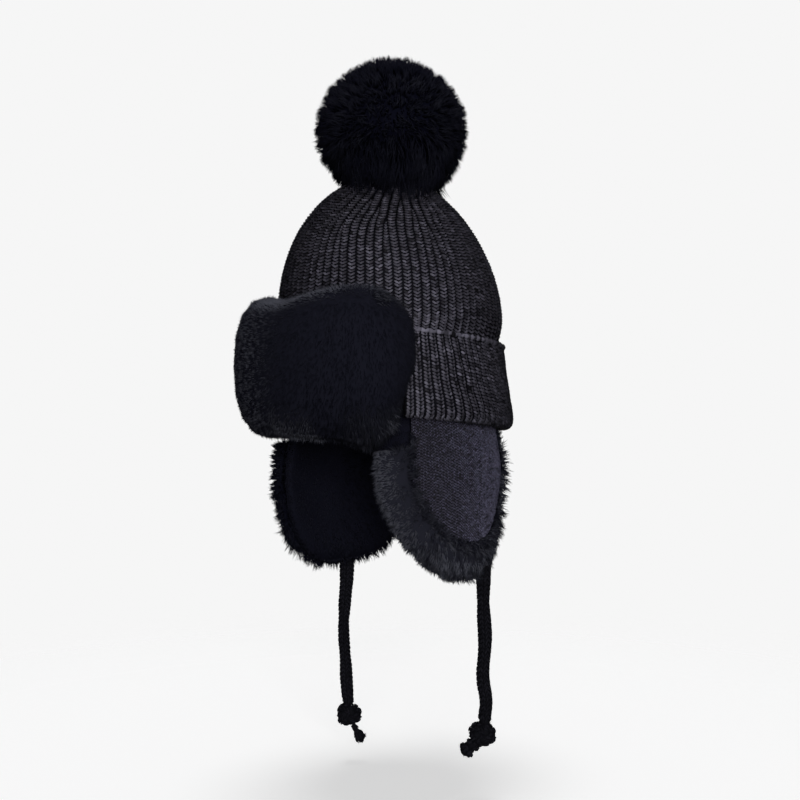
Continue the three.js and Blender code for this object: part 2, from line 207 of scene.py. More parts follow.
def seedTemplate():
    # One bit of yarn along x: a pointed end, three points round each shoulder and the other pointed end.
    points = [[-0.5, 0, seed["rootDip"]]]
    for along in (-seed["shoulder"], seed["shoulder"]):
        for angle in np.radians([90, 210, 330]):
            points.append([along, seed["plump"] * math.cos(angle), seed["plump"] * math.sin(angle)])
    points.append([0.5, 0, 0])
    faces = []
    for k in range(3):
        n = (k + 1) % 3
        faces += [[0, 1 + n, 1 + k], [1 + k, 1 + n, 4 + n], [1 + k, 4 + n, 4 + k], [7, 4 + k, 4 + n]]
    return np.array(points), np.array(faces)


def grains(centres, axes, outs, sizes, tone, paintedShadeAlong=(1, 1)):
    # Plump seed-shaped bits of yarn: one for each centre, lying along its axis, facing out.
    template, faces = seedTemplate()
    axes = unit(axes)
    sides = unit(np.cross(outs, axes))
    points = centres[:, None, :]
    for k, direction in enumerate((axes, sides, np.cross(axes, sides))):
        points = points + template[None, :, k:k + 1] * (direction * sizes[:, k:k + 1])[:, None, :]
    triangles = faces[None, :, :] + (np.arange(len(centres)) * len(template))[:, None, None]
    tones = tone[:, None] * lerp(paintedShadeAlong[0], paintedShadeAlong[1], template[None, :, 0] + 0.5)
    return points.reshape(-1, 3), triangles.reshape(-1, 3), tones.reshape(-1)


# A hair is painted darker at its root than at its tip: painted shade deep in the pile.
hair = {"elbow": 0.55, "taper": 0.45, "tipTone": 1.1, "paintedRootShade": 0.35, "leastPull": 0.4}


def strands(roots, outs, tips, widths, tone, rings=2, paintedRootShade=hair["paintedRootShade"]):
    # Slender three-sided hairs, each bending from its root's direction to its tip.
    count = len(roots)
    lengths = np.linalg.norm(tips - roots, axis=1, keepdims=True)
    elbows = roots + unit(outs) * lengths * hair["elbow"]
    helper = np.where(np.abs(outs[:, 2:3]) < 0.9, [[0, 0, 1.0]], [[1.0, 0, 0]])
    first = unit(np.cross(outs, helper))
    second = unit(np.cross(outs, first))
    rows, tones = [], []
    for ring in range(rings):
        s = ring / rings
        centre = (1 - s) ** 2 * roots + 2 * s * (1 - s) * elbows + s * s * tips
        for k in range(3):
            angle = 2 * math.pi * k / 3
            arm = (first * math.cos(angle) + second * math.sin(angle)) * widths[:, None]
            rows.append(centre + arm * (1 - hair["taper"] * s))
            # Painted shade: each ring is darker the nearer it lies to the root.
            tones.append(tone * lerp(paintedRootShade, hair["tipTone"], s))
    rows.append(tips)
    tones.append(tone * hair["tipTone"])
    points = np.stack(rows, axis=1)
    faces = [[0, 1, 2]]
    for ring in range(rings - 1):
        for k in range(3):
            a, b = ring * 3 + k, ring * 3 + (k + 1) % 3
            faces += [[a, a + 3, b + 3], [a, b + 3, b]]
    last = (rings - 1) * 3
    faces += [[last + k, rings * 3, last + (k + 1) % 3] for k in range(3)]
    each = rings * 3 + 1
    triangles = np.array(faces)[None, :, :] + (np.arange(count) * each)[:, None, None]
    return points.reshape(-1, 3), triangles.reshape(-1, 3), np.stack(tones, axis=1).reshape(-1)


def spreadOn(mesh, count, weigh=None):
    # Places spread over a mesh's surface, with their normals. weigh makes some parts denser.
    points, normals, triangles = asArrays(mesh)
    a, b, c = (points[triangles[:, k]] for k in range(3))
    size = np.linalg.norm(np.cross(b - a, c - a), axis=1)
    if weigh is not None:
        size = size * weigh((a + b + c) / 3, unit(np.cross(b - a, c - a)))
    chosen = dice.choice(len(size), count, p=size / size.sum())
    u, v = dice.random((2, count, 1))
    u, v = np.where(u + v > 1, 1 - u, u), np.where(u + v > 1, 1 - v, v)
    na, nb, nc = (normals[triangles[chosen, k]] for k in range(3))
    places = a[chosen] + u * (b[chosen] - a[chosen]) + v * (c[chosen] - a[chosen])
    return places, unit(na + u * (nb - na) + v * (nc - na))


def drawTogether(roots, tips, hairsPerTuft, share):
    # Pulls each tip towards the tip of the nearest tuft's middle hair. Also gives each hair's tuft.
    middles = dice.choice(len(roots), max(1, len(roots) // hairsPerTuft), replace=False)
    tree = KDTree(len(middles))
    for place, middle in enumerate(middles):
        tree.insert(roots[middle], place)
    tree.balance()
    nearest = np.array([middles[tree.find(root)[1]] for root in roots])
    pull = share * dice.uniform(hair["leastPull"], 1, (len(roots), 1))
    return lerp(tips, tips[nearest], pull), nearest


# Finishes. Yarn and hair read the tone attribute, which says how pale each bit is.
def addNode(tree, kind, inputs, **settings):
    node = tree.nodes.new("ShaderNode" + kind)
    for name, value in settings.items():
        setattr(node, name, value)
    setInputs(tree, node, inputs)
    return node


def setInputs(tree, node, inputs):
    # An input gets a plain value, or a link where another node's output is given.
    for name, value in inputs.items():
        if isinstance(value, bpy.types.NodeSocket):
            tree.links.new(value, node.inputs[name])
        else:
            node.inputs[name].default_value = value


def calculate(tree, kind, operation, *values, **settings):
    return addNode(tree, kind, dict(enumerate(values)), operation=operation, **settings).outputs[0]


def newMaterial(name):
    material = bpy.data.materials.new(name)
    material.use_nodes = True
    tree = material.node_tree
    tree.nodes.clear()
    shader = addNode(tree, "BsdfPrincipled", {})
    addNode(tree, "OutputMaterial", {"Surface": shader.outputs["BSDF"]})
    return material, tree, shader


# Noise scales are for metres.
fibre = {"detail": 3, "roughness": 0.65, "share": 0.7, "patchScale": 24, "patchDetail": 2, "patchShare": 0.35,
         "middle": 0.525}


def yarnGroup():
    # Fibres of a yarn: a mottled shade and a fine height.
    group = bpy.data.node_groups.new("yarn fibres", "ShaderNodeTree")
    for way, sockets in (("INPUT", {"Dark": "Color", "Pale": "Color", "Tone": "Float", "Fibre Scale": "Float",
                                    "Mottle": "Float"}),
                         ("OUTPUT", {"Color": "Color", "Height": "Float"})):
        for name, kind in sockets.items():
            group.interface.new_socket(name=name, in_out=way, socket_type="NodeSocket" + kind)
    given = group.nodes.new("NodeGroupInput").outputs
    place = addNode(group, "TexCoord", {}).outputs["Object"]
    fine = addNode(group, "TexNoise", {
        "Vector": place, "Scale": given["Fibre Scale"], "Detail": fibre["detail"],
        "Roughness": fibre["roughness"]}).outputs["Fac"]
    patches = addNode(group, "TexNoise", {
        "Vector": place, "Scale": fibre["patchScale"], "Detail": fibre["patchDetail"]}).outputs["Fac"]
    faint = calculate(group, "Math", "MULTIPLY", patches, fibre["patchShare"])
    speck = calculate(group, "Math", "MULTIPLY_ADD", fine, fibre["share"], faint)
    centred = calculate(group, "Math", "SUBTRACT", speck, fibre["middle"])
    total = calculate(group, "Math", "MULTIPLY_ADD", centred, given["Mottle"], given["Tone"], use_clamp=True)
    blend = addNode(group, "Mix", {"Factor": total, "A": given["Dark"], "B": given["Pale"]}, data_type="RGBA")
    setInputs(group, group.nodes.new("NodeGroupOutput"), {"Color": blend.outputs["Result"], "Height": fine})
    return group


yarnFibres = yarnGroup()


# The rounded form under the rib stitches, in metres: half an ellipsoid, and upright below its centre.
softForm = {"centre": (0, 0, -0.121), "radii": (0.090, 0.1045, 0.125), "share": 0.8}


def softNormal(tree):
    # The stitch's own normal turned towards the rounded form, because light spreads within wool.
    place = addNode(tree, "TexCoord", {}).outputs["Object"]
    offset = calculate(tree, "VectorMath", "SUBTRACT", place, softForm["centre"])
    above = calculate(tree, "VectorMath", "MAXIMUM", offset, (-1, -1, 0))
    slopes = [1 / radius ** 2 for radius in softForm["radii"]]
    form = calculate(tree, "VectorMath", "MULTIPLY", above, slopes)
    world = addNode(tree, "VectorTransform", {0: form}, vector_type="NORMAL", convert_from="OBJECT",
                    convert_to="WORLD").outputs[0]
    outward = calculate(tree, "VectorMath", "NORMALIZE", world)
    own = addNode(tree, "NewGeometry", {}).outputs["Normal"]
    blend = addNode(tree, "Mix", {"Factor": softForm["share"], "A": own, "B": outward}, data_type="VECTOR")
    return calculate(tree, "VectorMath", "NORMALIZE", blend.outputs["Result"])


def yarnMaterial(name, look):
    material, tree, shader = newMaterial(name)
    tone = addNode(tree, "Attribute", {}, attribute_name="tone").outputs["Fac"]
    fibres = addNode(tree, "Group", {}, node_tree=yarnFibres)
    setInputs(tree, fibres, {"Dark": (*look["dark"], 1), "Pale": (*look["pale"], 1), "Tone": tone,
                             "Fibre Scale": look["fibreScale"], "Mottle": look["mottle"]})
    bump = addNode(tree, "Bump", {"Strength": look["bump"], "Distance": look["bumpDepth"] * mm,
                                  "Height": fibres.outputs["Height"]})
    if look.get("spreadsLight"):
        setInputs(tree, bump, {"Normal": softNormal(tree)})
    setInputs(tree, shader, {"Base Color": fibres.outputs["Color"], "Normal": bump.outputs["Normal"],
                             "Roughness": look["roughness"], "Specular IOR Level": look["specular"],
                             "Specular Tint": (*look["glint"], 1)})
    return material


ribYarn = yarnMaterial("rib yarn", {
    "dark": (0.0006, 0.0006, 0.0010), "pale": (0.130, 0.124, 0.161), "fibreScale": 1300, "mottle": 0.6,
    "bump": 0.7, "bumpDepth": 0.5, "roughness": 0.4, "specular": 0.1, "glint": (1.0, 0.97, 1.0),
    "spreadsLight": True})
# A darker, duller copy of the yarn for the walls under the stitches: painted shade in the gaps between them.
shadeYarn = yarnMaterial("yarn in shade", {
    "dark": (0.0035, 0.0035, 0.0050), "pale": (0.022, 0.021, 0.027), "fibreScale": 1300, "mottle": 0.3,
    "bump": 0.5, "bumpDepth": 0.5, "roughness": 0.9, "specular": 0.03, "glint": (1.0, 1.0, 1.0)})
jerseyYarn = yarnMaterial("jersey yarn", {
    "dark": (0.001, 0.001, 0.002), "pale": (0.110, 0.105, 0.165), "fibreScale": 1500, "mottle": 0.5,
    "bump": 0.7, "bumpDepth": 0.4, "roughness": 0.5, "specular": 0.35, "glint": (0.9, 0.9, 1.0)})
cordYarn = yarnMaterial("cord yarn", {
    "dark": (0.0006, 0.0006, 0.0012), "pale": (0.0075, 0.0072, 0.0105), "fibreScale": 1300, "mottle": 0.6,
    "bump": 0.6, "bumpDepth": 0.4, "roughness": 0.8, "specular": 0.12, "glint": (0.85, 0.85, 1.0)})
furPile = yarnMaterial("fur pile", {
    "dark": (0.0012, 0.0012, 0.0050), "pale": (0.062, 0.064, 0.080), "fibreScale": 160, "mottle": 0.04,
    "bump": 0.1, "bumpDepth": 0.3, "roughness": 0.9, "specular": 0.03, "glint": (0.75, 0.8, 1.0)})
print("materials ready")


# Ties: knitted cords, each ending in a knot with a frayed tail.
tie = {"diameter": 10, "tubeRadius": 4.4, "rings": 60, "sides": 15, "columns": 6, "pitch": 4.0, "swell": 0.5,
       "swellPlaces": 10, "topReach": 0.3, "baseTone": 0.1}
cordLeg = {"shift": 0.12, "stray": 0.1, "at": 0.22, "slant": 0.55, "tuck": 0.12, "length": 1.5, "width": 0.44,
           "thick": 0.40, "uneven": (0.90, 1.10), "tone": (0.2, 0.8), "proud": 0.1}
fuzz = {"count": 500, "along": 1.2, "stray": 0.5, "length": (0.8, 1.7), "width": (0.12, 0.22),
        "tone": (0.1, 0.8)}
knotForm = {"below": -8.5, "points": 121, "middle": 1.9, "scale": (2.5, 4.2, 2.1), "turn": 45, "radius": 4.2,
            "sides": 12}
tailForm = {"rings": 14, "sides": 12, "columns": 4, "bend": (1.2, -0.8, 0.6), "bends": 7, "sink": 0.2,
            "frayFrom": (0.6, 0.95), "frayRoot": (1.0, 3.4), "frayFall": (-1.0, 3.5), "leastSplay": 1.0,
            "tuft": 12, "gather": 0.8, "frayWidth": (0.5, 1.0), "tone": (0.1, 0.8)}
tieRoutes = {
    "left": [
        (84.0, 24.6, -328.0), (84.0, 24.6, -337), (84.0, 24.6, -346), (83.9, 24.5, -355), (84.0, 24.7, -364),
        (84.3, 25.1, -373), (84.7, 25.5, -382), (84.9, 25.6, -391), (84.6, 25.2, -400), (84.0, 24.6, -409),
        (83.7, 24.2, -418), (84.2, 24.7, -427), (85.3, 25.8, -436), (85.6, 26.1, -445), (84.8, 25.4, -452),
        (84.8, 25.4, -459.6)],
    "right": [
        (-84.0, 24.6, -331.0), (-84.0, 24.6, -339), (-84.0, 24.6, -347), (-84.2, 24.4, -357),
        (-84.7, 23.9, -367), (-85.3, 23.3, -377), (-85.7, 22.9, -387), (-86.2, 22.5, -397),
        (-86.1, 22.6, -407), (-85.7, 23.0, -417), (-85.2, 23.5, -427), (-84.7, 24.0, -437),
        (-84.4, 24.2, -447), (-84.0, 24.6, -456), (-83.5, 25.1, -465), (-82.8, 25.8, -473.6)],
}
tieEnds = {
    "left": {"shift": -1.8, "start": (-4.5, -4.5, -7.5), "tailLength": 12, "lean": (-0.75, -0.75),
             "thick": (4.6, 4.8, 3.8, 5.2, 5.4, 3.0), "fray": 140, "splay": 4.0, "topSwell": 0.3},
    "right": {"shift": 0.0, "start": (3.0, 3.0, -10.5), "tailLength": 16, "lean": (0.42, 0.42),
              "thick": (2.6, 2.1, 2.0, 3.8, 4.2, 2.4), "fray": 220, "splay": 7.0, "topSwell": 1.1},
}


def tubeFrames(line):
    # Two directions across a line at each of its points, turning as little as they can.
    forward = unit(np.gradient(line, axis=0))
    first = np.zeros_like(line)
    start = np.cross(forward[0], [0.3, 0.9, 0.1])
    for place in range(len(line)):
        start = start - forward[place] * np.dot(start, forward[place])
        start = start / np.linalg.norm(start)
        first[place] = start
    return forward, first, np.cross(forward, first)


def tubeMesh(line, radius, sides):
    _, first, second = tubeFrames(line)
    along = np.linspace(0, 1, len(line))

    def placeAt(u, v):
        row = v * (len(line) - 1)
        low = np.clip(np.floor(row).astype(int), 0, len(line) - 2)
        part = (row - low)[:, None]
        centre, a, b = (lerp(x[low], x[low + 1], part) for x in (line, first, second))
        thick = np.interp(v, along, np.broadcast_to(radius, len(line)))[:, None]
        angle = (2 * math.pi * u)[:, None]
        return centre + (a * np.cos(angle) + b * np.sin(angle)) * thick

    return wrapGrid("tube", sides, len(line) - 1, placeAt, capEnds=True)


def cordStitches(line, radius, columnCount):
    # Columns of V stitches round a tube.
    forward, first, second = tubeFrames(line)
    along = np.concatenate([[0], np.cumsum(np.linalg.norm(np.diff(line, axis=0), axis=1))])
    pitch, spread = tie["pitch"], 2 * math.pi / columnCount
    at, angle, hand = [], [], []
    for column in range(columnCount):
        for row in range(int(along[-1] / pitch)):
            for leg in (-1, 1):
                at.append((row + 0.5 + cordLeg["shift"] * leg) * pitch + dice.normal(0, cordLeg["stray"]))
                angle.append((column + leg * cordLeg["at"]) * spread)
                hand.append(leg)
    at, angle, hand = np.array(at), np.array(angle)[:, None], np.array(hand)[:, None]
    read = lambda x: np.stack([np.interp(at, along, x[:, k]) for k in range(3)], axis=1)
    centre, f, a, b = read(line), unit(read(forward)), unit(read(first)), unit(read(second))
    radius = np.interp(at, along, np.broadcast_to(radius, len(line)))[:, None]
    out = a * np.cos(angle) + b * np.sin(angle)
    axis = unit(f + np.cross(f, out) * hand * cordLeg["slant"]) + out * cordLeg["tuck"]
    width = spread * radius
    length = np.full_like(width, pitch * cordLeg["length"])
    sizes = np.concatenate([length, width * cordLeg["width"], width * cordLeg["thick"]], axis=1)
    sizes = sizes * dice.uniform(*cordLeg["uneven"], (len(at), 1))
    tone = dice.uniform(*cordLeg["tone"], len(at))
    return grains(centre + out * (radius + cordLeg["proud"]), axis, out, sizes, tone)


def cordFuzz(line, radius):
    # Short loose fibres that stand out from a cord's surface.
    count = fuzz["count"]
    at = dice.integers(1, len(line) - 1, count)
    around = unit(dice.normal(0, 1, (count, 3)))
    forward = unit(np.gradient(line, axis=0))[at]
    around = unit(around - forward * np.sum(around * forward, axis=1)[:, None])
    roots = line[at] + forward * dice.uniform(-fuzz["along"], fuzz["along"], (count, 1))
    roots = roots + around * radius[at][:, None]
    ways = around + dice.normal(0, fuzz["stray"], (count, 3))
    tips = roots + ways * dice.uniform(*fuzz["length"], (count, 1))
    return strands(roots, around, tips, dice.uniform(*fuzz["width"], count),
                   dice.uniform(*fuzz["tone"], count), 1)


def cordPiece(name, node, base, bits):
    # A base mesh and small shapes as one piece.
    points, _, triangles = asArrays(base)
    joined = joinArrays([(points, triangles, np.full(len(points), tie["baseTone"])), *bits])
    bpy.data.meshes.remove(base)
    return addPiece(name, meshFromArrays(name, *joined), cordYarn, [node])


def makeTie(side):
    route = np.array(tieRoutes[side], float)
    line = splineThrough(route, tie["rings"])
    share = np.linspace(0, 1, tie["rings"])
    places = np.arange(tie["swellPlaces"])
    swell = np.interp(share * places[-1], places, dice.uniform(-1, 1, len(places)))
    radius = tie["tubeRadius"] + tie["swell"] * swell
    radius = radius + tieEnds[side]["topSwell"] * (1 - smoothstep(0, tie["topReach"], share))
    tube = tubeMesh(line, radius, tie["sides"])
    stitches = cordStitches(line, radius, tie["columns"])
    cord = cordPiece(f"tie_cord_{side}", f"tie_{side}", tube, [stitches, cordFuzz(line, radius)])
    knot, tail = makeKnot(side, route[-1]), makeTail(side, route[-1])


def knotCentre(side, end):
    shift = tieEnds[side]["shift"]
    return end + np.array([shift, shift, knotForm["below"]])


def makeKnot(side, end):
    # An overhand knot: the cord looped through itself and pulled tight.
    t = np.linspace(0, 2 * math.pi, knotForm["points"])
    reach = knotForm["middle"] + np.cos(3 * t)
    loop = np.stack([reach * np.cos(2 * t), np.sin(3 * t), reach * np.sin(2 * t)], axis=1) * knotForm["scale"]
    angle = math.radians(knotForm["turn"])
    cos, sin = math.cos(angle), math.sin(angle)
    line = loop @ np.array([[cos, sin, 0], [-sin, cos, 0], [0, 0, 1]]) + knotCentre(side, end)
    tube = tubeMesh(line, knotForm["radius"], knotForm["sides"])
    stitches = cordStitches(line, knotForm["radius"], tie["columns"])
    return cordPiece(f"knot_{side}", f"tie_knot_{side}", tube, [stitches])


def makeTail(side, end):
    # The frayed end: a lumpy stub with loose yarn ends.
    ends = tieEnds[side]
    down = unit(np.array([*ends["lean"], -1.0]))
    start = knotCentre(side, end) + np.array(ends["start"])
    count = ends["fray"]
    across = unit(dice.normal(0, 1, (count, 3)))
    across = across - (across @ down)[:, None] * down
    roots = start + down * ends["tailLength"] * dice.uniform(*tailForm["frayFrom"], (count, 1))
    roots = roots + across * dice.uniform(*tailForm["frayRoot"], (count, 1))
    tips = roots + down * dice.uniform(*tailForm["frayFall"], (count, 1))
    tips = tips + across * dice.uniform(tailForm["leastSplay"], ends["splay"], (count, 1))
    tips, _ = drawTogether(roots, tips, tailForm["tuft"], tailForm["gather"])
    frayed = strands(roots, np.tile(down, (count, 1)), tips, dice.uniform(*tailForm["frayWidth"], count),
                     dice.uniform(*tailForm["tone"], count), rings=3)
    share = np.linspace(0, 1, tailForm["rings"])[:, None]
    bend = np.array(tailForm["bend"]) * np.sin(share * tailForm["bends"])
    line = start + down * share * ends["tailLength"] + bend
    radius = np.interp(share[:, 0], np.linspace(0, 1, len(ends["thick"])), ends["thick"])
    stub = tubeMesh(line, radius, tailForm["sides"])
    stitches = cordStitches(line, radius - tailForm["sink"], tailForm["columns"])
    return cordPiece(f"tail_{side}", f"tie_tail_{side}", stub, [frayed, stitches])


for side in ("left", "right"):
    makeTie(side)
print("ties made")


# The head's outline that everything is measured from, and the crown's meridian.
head = {"halfWidth": 90, "halfLength": 104.5}
crown = {
    "wall": 4, "domeHeight": 125, "domeCentre": -121, "domePower": 1.92, "domeBrowPower": 0.21,
    "rimHeight": -204.5, "rimTilt": 9.2, "browDip": 14, "browDipTurn": 44, "browDipSlope": 2.2,
    "ribs": 78, "ribDepth": 3.6, "crestInset": 1.3, "narrowPower": 0.7, "innerRibDepth": 1.5,
    "innerInset": -0.3, "fadeStarts": (0.97, 0.86, 0.76), "fadeUneven": 0.04, "fadeSpan": 0.27,
    "leastRib": 0.05, "rimBulge": 1.2, "seamTurn": 58, "seamPull": 13, "seamReach": 75,
    "seamFrom": (0.38, 0.92), "stitchStart": 4.0, "stitchEnd": 18, "stitchedRib": 0.2, "stray": 0.15,
    "sidePoints": 50, "domePoints": 90, "layoutRows": 240,
    "insideShare": 0.30, "rimShare": 0.34, "columnsPerRib": 4, "rows": 66,
}
crownSide = [
    {"height": -204.5, "offset": -1.5, "dip": 1.0, "tilt": 1.0},
    {"height": -172, "offset": -2.8, "dip": 0.667, "tilt": 1.0},
    {"height": -138, "offset": -3.4, "dip": 0.333, "tilt": 1.0},
    {"height": -121, "offset": 0.0, "dip": 0.0, "tilt": 0.0},
]


def headPoint(turn, height, offset, scale=1.0):
    angle = np.radians(turn)
    across = head["halfWidth"] * scale + offset
    along = head["halfLength"] * scale + offset
    return np.stack([across * np.sin(angle), -along * np.cos(angle), height + 0 * angle], axis=-1)


def tiltAt(turn):
    return crown["rimTilt"] * np.cos(np.radians(turn))


def browDipAt(turn):
    fromBrow = np.abs(np.mod(turn + 180, 360) - 180)
    share = np.clip(1 - fromBrow / crown["browDipTurn"], 0, 1)
    return (crown["browDip"] + crown["rimTilt"]) * np.minimum(1, share * crown["browDipSlope"])


def meridian():
    # The crown's outline from rim to top: height, rise on the dome, offset and shares, by arc length.
    heights, offsets, dips, tilts = columns(crownSide, "height", "offset", "dip", "tilt")
    side = np.linspace(heights[0], heights[-1], crown["sidePoints"])
    rise = np.sin(np.radians(np.linspace(0, 90, crown["domePoints"])))[1:]
    level = 0 * rise
    table = {
        "height": np.concatenate([side, level + crown["domeCentre"]]),
        "rise": np.concatenate([0 * side, rise]),
        "offset": np.concatenate([eased(side, heights, offsets), level]),
        "dip": np.concatenate([np.interp(side, heights, dips), level]),
        "tilt": np.concatenate([np.interp(side, heights, tilts), level]),
    }
    scale = (1 - table["rise"] ** crown["domePower"]) ** (1 / crown["domePower"])
    up = table["height"] + crown["domeHeight"] * table["rise"]
    out = head["halfWidth"] * scale + table["offset"]
    table["arc"] = np.concatenate([[0], np.cumsum(np.hypot(np.diff(up), np.diff(out)))])
    table["scale"] = scale
    return table


crownLine = meridian()
crownArc = crownLine["arc"][-1]


def crownPoint(turn, arc, inset):
    read = lambda name: np.interp(arc, crownLine["arc"], crownLine[name])
    rise = read("rise")
    power = crown["domePower"] + crown["domeBrowPower"] * np.cos(np.radians(turn))
    scale = np.maximum(1 - rise ** power, 0) ** (1 / power)
    height = read("height") + (crown["domeHeight"] - inset) * rise
    height = height + tiltAt(turn) * read("tilt") - browDipAt(turn) * read("dip")
    return headPoint(turn, height, read("offset") - inset * scale, scale)


# Ribs run from the rim to the top. On the way up every second one narrows away between its neighbours.
def ribLayout():
    arcs = np.linspace(0, crownArc, crown["layoutRows"])
    scale = np.interp(arcs, crownLine["arc"], crownLine["scale"])[:, None]
    width = np.ones((len(arcs), crown["ribs"]))
    starts = np.array([crown["fadeStarts"][(place * 2) % 3] for place in range(crown["ribs"] // 2)])
    starts = starts + dice.uniform(-crown["fadeUneven"], crown["fadeUneven"], len(starts))
    width[:, 1::2] = np.maximum(smoothstep(starts - crown["fadeSpan"], starts, scale), crown["leastRib"])
    edge = np.concatenate([np.zeros((len(arcs), 1)), np.cumsum(width, axis=1)], axis=1)
    return edge / edge[:, -1:], width


ribEdges, ribWidths = ribLayout()


def readGrid(table, row, column):
    row = np.clip(row, 0, table.shape[0] - 1.001)
    column = np.clip(column, 0, table.shape[1] - 1.001)
    r, c = np.floor(row).astype(int), np.floor(column).astype(int)
    fr, fc = row - r, column - c
    return ((table[r, c] * (1 - fc) + table[r, c + 1] * fc) * (1 - fr)
            + (table[r + 1, c] * (1 - fc) + table[r + 1, c + 1] * fc) * fr)


def ribRow(arc):
    return np.clip(arc / crownArc, 0, 1) * (len(ribEdges) - 1)


def ribTurn(rib, arc):
    # The turn of a place counted in ribs. Near the top the ribs lean towards one line of gathers.
    turn = 180 + 360 * readGrid(ribEdges, ribRow(arc), rib)
    scale = np.interp(arc, crownLine["arc"], crownLine["scale"])
    pull = crown["seamPull"] * (1 - smoothstep(*crown["seamFrom"], scale))
    away = np.mod(turn - crown["seamTurn"] + 180, 360) - 180
    return turn - pull * np.sin(np.radians(np.clip(away / crown["seamReach"], -2, 2) * 90))


def ribWidth(rib, arc):
    # A rib's share of its full width at an arc.
    row = np.minimum(ribRow(arc), len(ribWidths) - 1.001)
    low = row.astype(int)
    column = np.clip(np.floor(rib), 0, crown["ribs"] - 1).astype(int)
    return lerp(ribWidths[low, column], ribWidths[low + 1, column], row - low)


def ribFurrow(rib, arc):
    # How deep the surface lies below the rib crests, from 0 on a crest to 1 in a furrow.
    width = ribWidth(np.minimum(rib, crown["ribs"] - 0.001), arc)
    return 1 - np.sin(math.pi * (rib % 1.0)) * width ** crown["narrowPower"]


def ribPoint(rib, arc, inset):
    # A place on the rounded ribs.
    return crownPoint(ribTurn(rib, arc), arc, inset + crown["ribDepth"] * knit["seat"] * ribFurrow(rib, arc))


def makeCrownBase():
    inside, rim = crown["insideShare"], crown["rimShare"]

    def placeAt(u, v):
        # v runs down the inside from the top, round the rim and up the outside.
        rib = u * crown["ribs"]
        inArc = crownArc * (1 - v / inside)
        outArc = crownArc * np.clip((v - rim) / (1 - rim), 0, 1)
        arc = np.where(v < inside, inArc, outArc)
        furrow = ribFurrow(rib, arc)
        inner = crown["wall"] + crown["innerRibDepth"] * furrow + crown["innerInset"]
        outer = crown["crestInset"] + crown["ribDepth"] * furrow
        around = np.clip((v - inside) / (rim - inside), 0, 1)
        point = crownPoint(ribTurn(rib, arc), arc, lerp(inner, outer, smoothstep(0, 1, around)))
        point[:, 2] -= crown["rimBulge"] * np.sin(math.pi * around)
        return point

    return wrapGrid("crown_base", crown["ribs"] * crown["columnsPerRib"], crown["rows"], placeAt)


# How far a surface is probed each way from a stitch, in millimetres and in ribs, and the stitch's tilt.
probe = {"along": 0.6, "across": 0.05, "tuck": 0.12}


def surfaceBits(place, along, across, hand, inset, sizes, lean, tone, paintedShadeAlong=(1, 1), down=1):
    # V-stitch legs on a surface. place(along, across, inset) gives its points; across is in ribs.
    centre = place(along, across, inset)
    far, wide = probe["along"], probe["across"]
    up = unit(place(along + far, across, inset) - place(along - far, across, inset)) * down
    side = unit(place(along, across + wide, inset) - place(along, across - wide, inset))
    out = unit(np.cross(side, up)) * down
    axis = unit(up + side * (hand * lean)[:, None]) + out * probe["tuck"]
    return grains(centre, axis, out, sizes, tone, paintedShadeAlong)


# The V stitches of the rib knit: each is two slanted legs, which lie flatter where the rib is wider.
# Each leg is painted darker at its outer end, beside the furrow: painted shade in the furrows.
knit = {"pitch": 2.82, "seat": 0.85, "legAt": 0.205, "reach": 0.37, "climb": 0.95, "legLength": 1.10,
        "legWidth": 1.65, "legThick": 1.9, "fullRib": 6, "leastThick": 0.45, "uneven": (0.88, 1.12),
        "inset": 1.1, "tone": 0.50, "toneSpread": 0.17, "leastTone": 0.05, "bright": 0.05, "brightTone": 0.7,
        "paintedShadeAlong": (1.2, 0.45), "probe": 0.15, "baseTone": 0.05}


def legSizes(ribWidths):
    across, up = ribWidths * knit["reach"], knit["pitch"] * knit["climb"]
    thin = np.clip(ribWidths / knit["fullRib"], knit["leastThick"], 1)
    sizes = [np.hypot(across, up) * knit["legLength"], knit["legWidth"] * thin, knit["legThick"] * thin]
    return np.stack(sizes, axis=1) * dice.uniform(*knit["uneven"], (len(ribWidths), 1))


def legTones(count):
    # A few legs are painted much paler: painted glints on the yarn.
    tones = np.clip(dice.normal(knit["tone"], knit["toneSpread"], count), knit["leastTone"], 1)
    return tones + knit["brightTone"] * (dice.random(count) < knit["bright"])


def ribStitches(place, ribs, rows, stray, isStitched, down):
    # Two legs for each row of each rib. Rows run up the surface, or down it where down is -1.
    along, rib, hand = [], [], []
    for column in range(ribs):
        at = rows + dice.uniform(-0.5, 0.5) * knit["pitch"]
        keep = isStitched(column + 0.5, at)
        for leg in (-1, 1):
            along.append((at + dice.normal(0, stray, len(at)))[keep])
            rib.append(np.full(keep.sum(), column + 0.5 + leg * knit["legAt"]))
            hand.append(np.full(keep.sum(), leg))
    along, rib, hand = (np.concatenate(x) for x in (along, rib, hand))
    wide = knit["probe"]
    width = np.linalg.norm(place(along, rib + wide, 0) - place(along, rib - wide, 0), axis=1) / (2 * wide)
    lean = width * knit["reach"] / (knit["pitch"] * knit["climb"])
    return surfaceBits(place, along, rib, hand, knit["inset"], legSizes(width), lean, legTones(len(along)),
                       knit["paintedShadeAlong"][::down], down=down)


def knitPieces(name, base, bits, node):
    # The ribbed wall and its stitches as two pieces.
    # The wall is painted nearly black: painted shade between the stitches.
    setTone(base, np.full(len(base.vertices), knit["baseTone"]))
    wall = addPiece(f"{name}_knit", base, shadeYarn, [node])
    stitchMesh = meshFromArrays(f"{name}_stitches", *bits)
    return wall, addPiece(f"{name}_stitches", stitchMesh, ribYarn, ())


crownBase = makeCrownBase()
crownBits = ribStitches(
    lambda along, across, inset: ribPoint(across, along, inset), crown["ribs"],
    np.arange(crown["stitchStart"], crownArc - crown["stitchEnd"], knit["pitch"]), crown["stray"],
    lambda rib, arc: ribWidth(np.full(len(arc), rib), arc) > crown["stitchedRib"], 1)
crownPiece, crownStitchPiece = knitPieces("crown", crownBase, crownBits, "crown")
print("crown made", len(crownBits[1]))


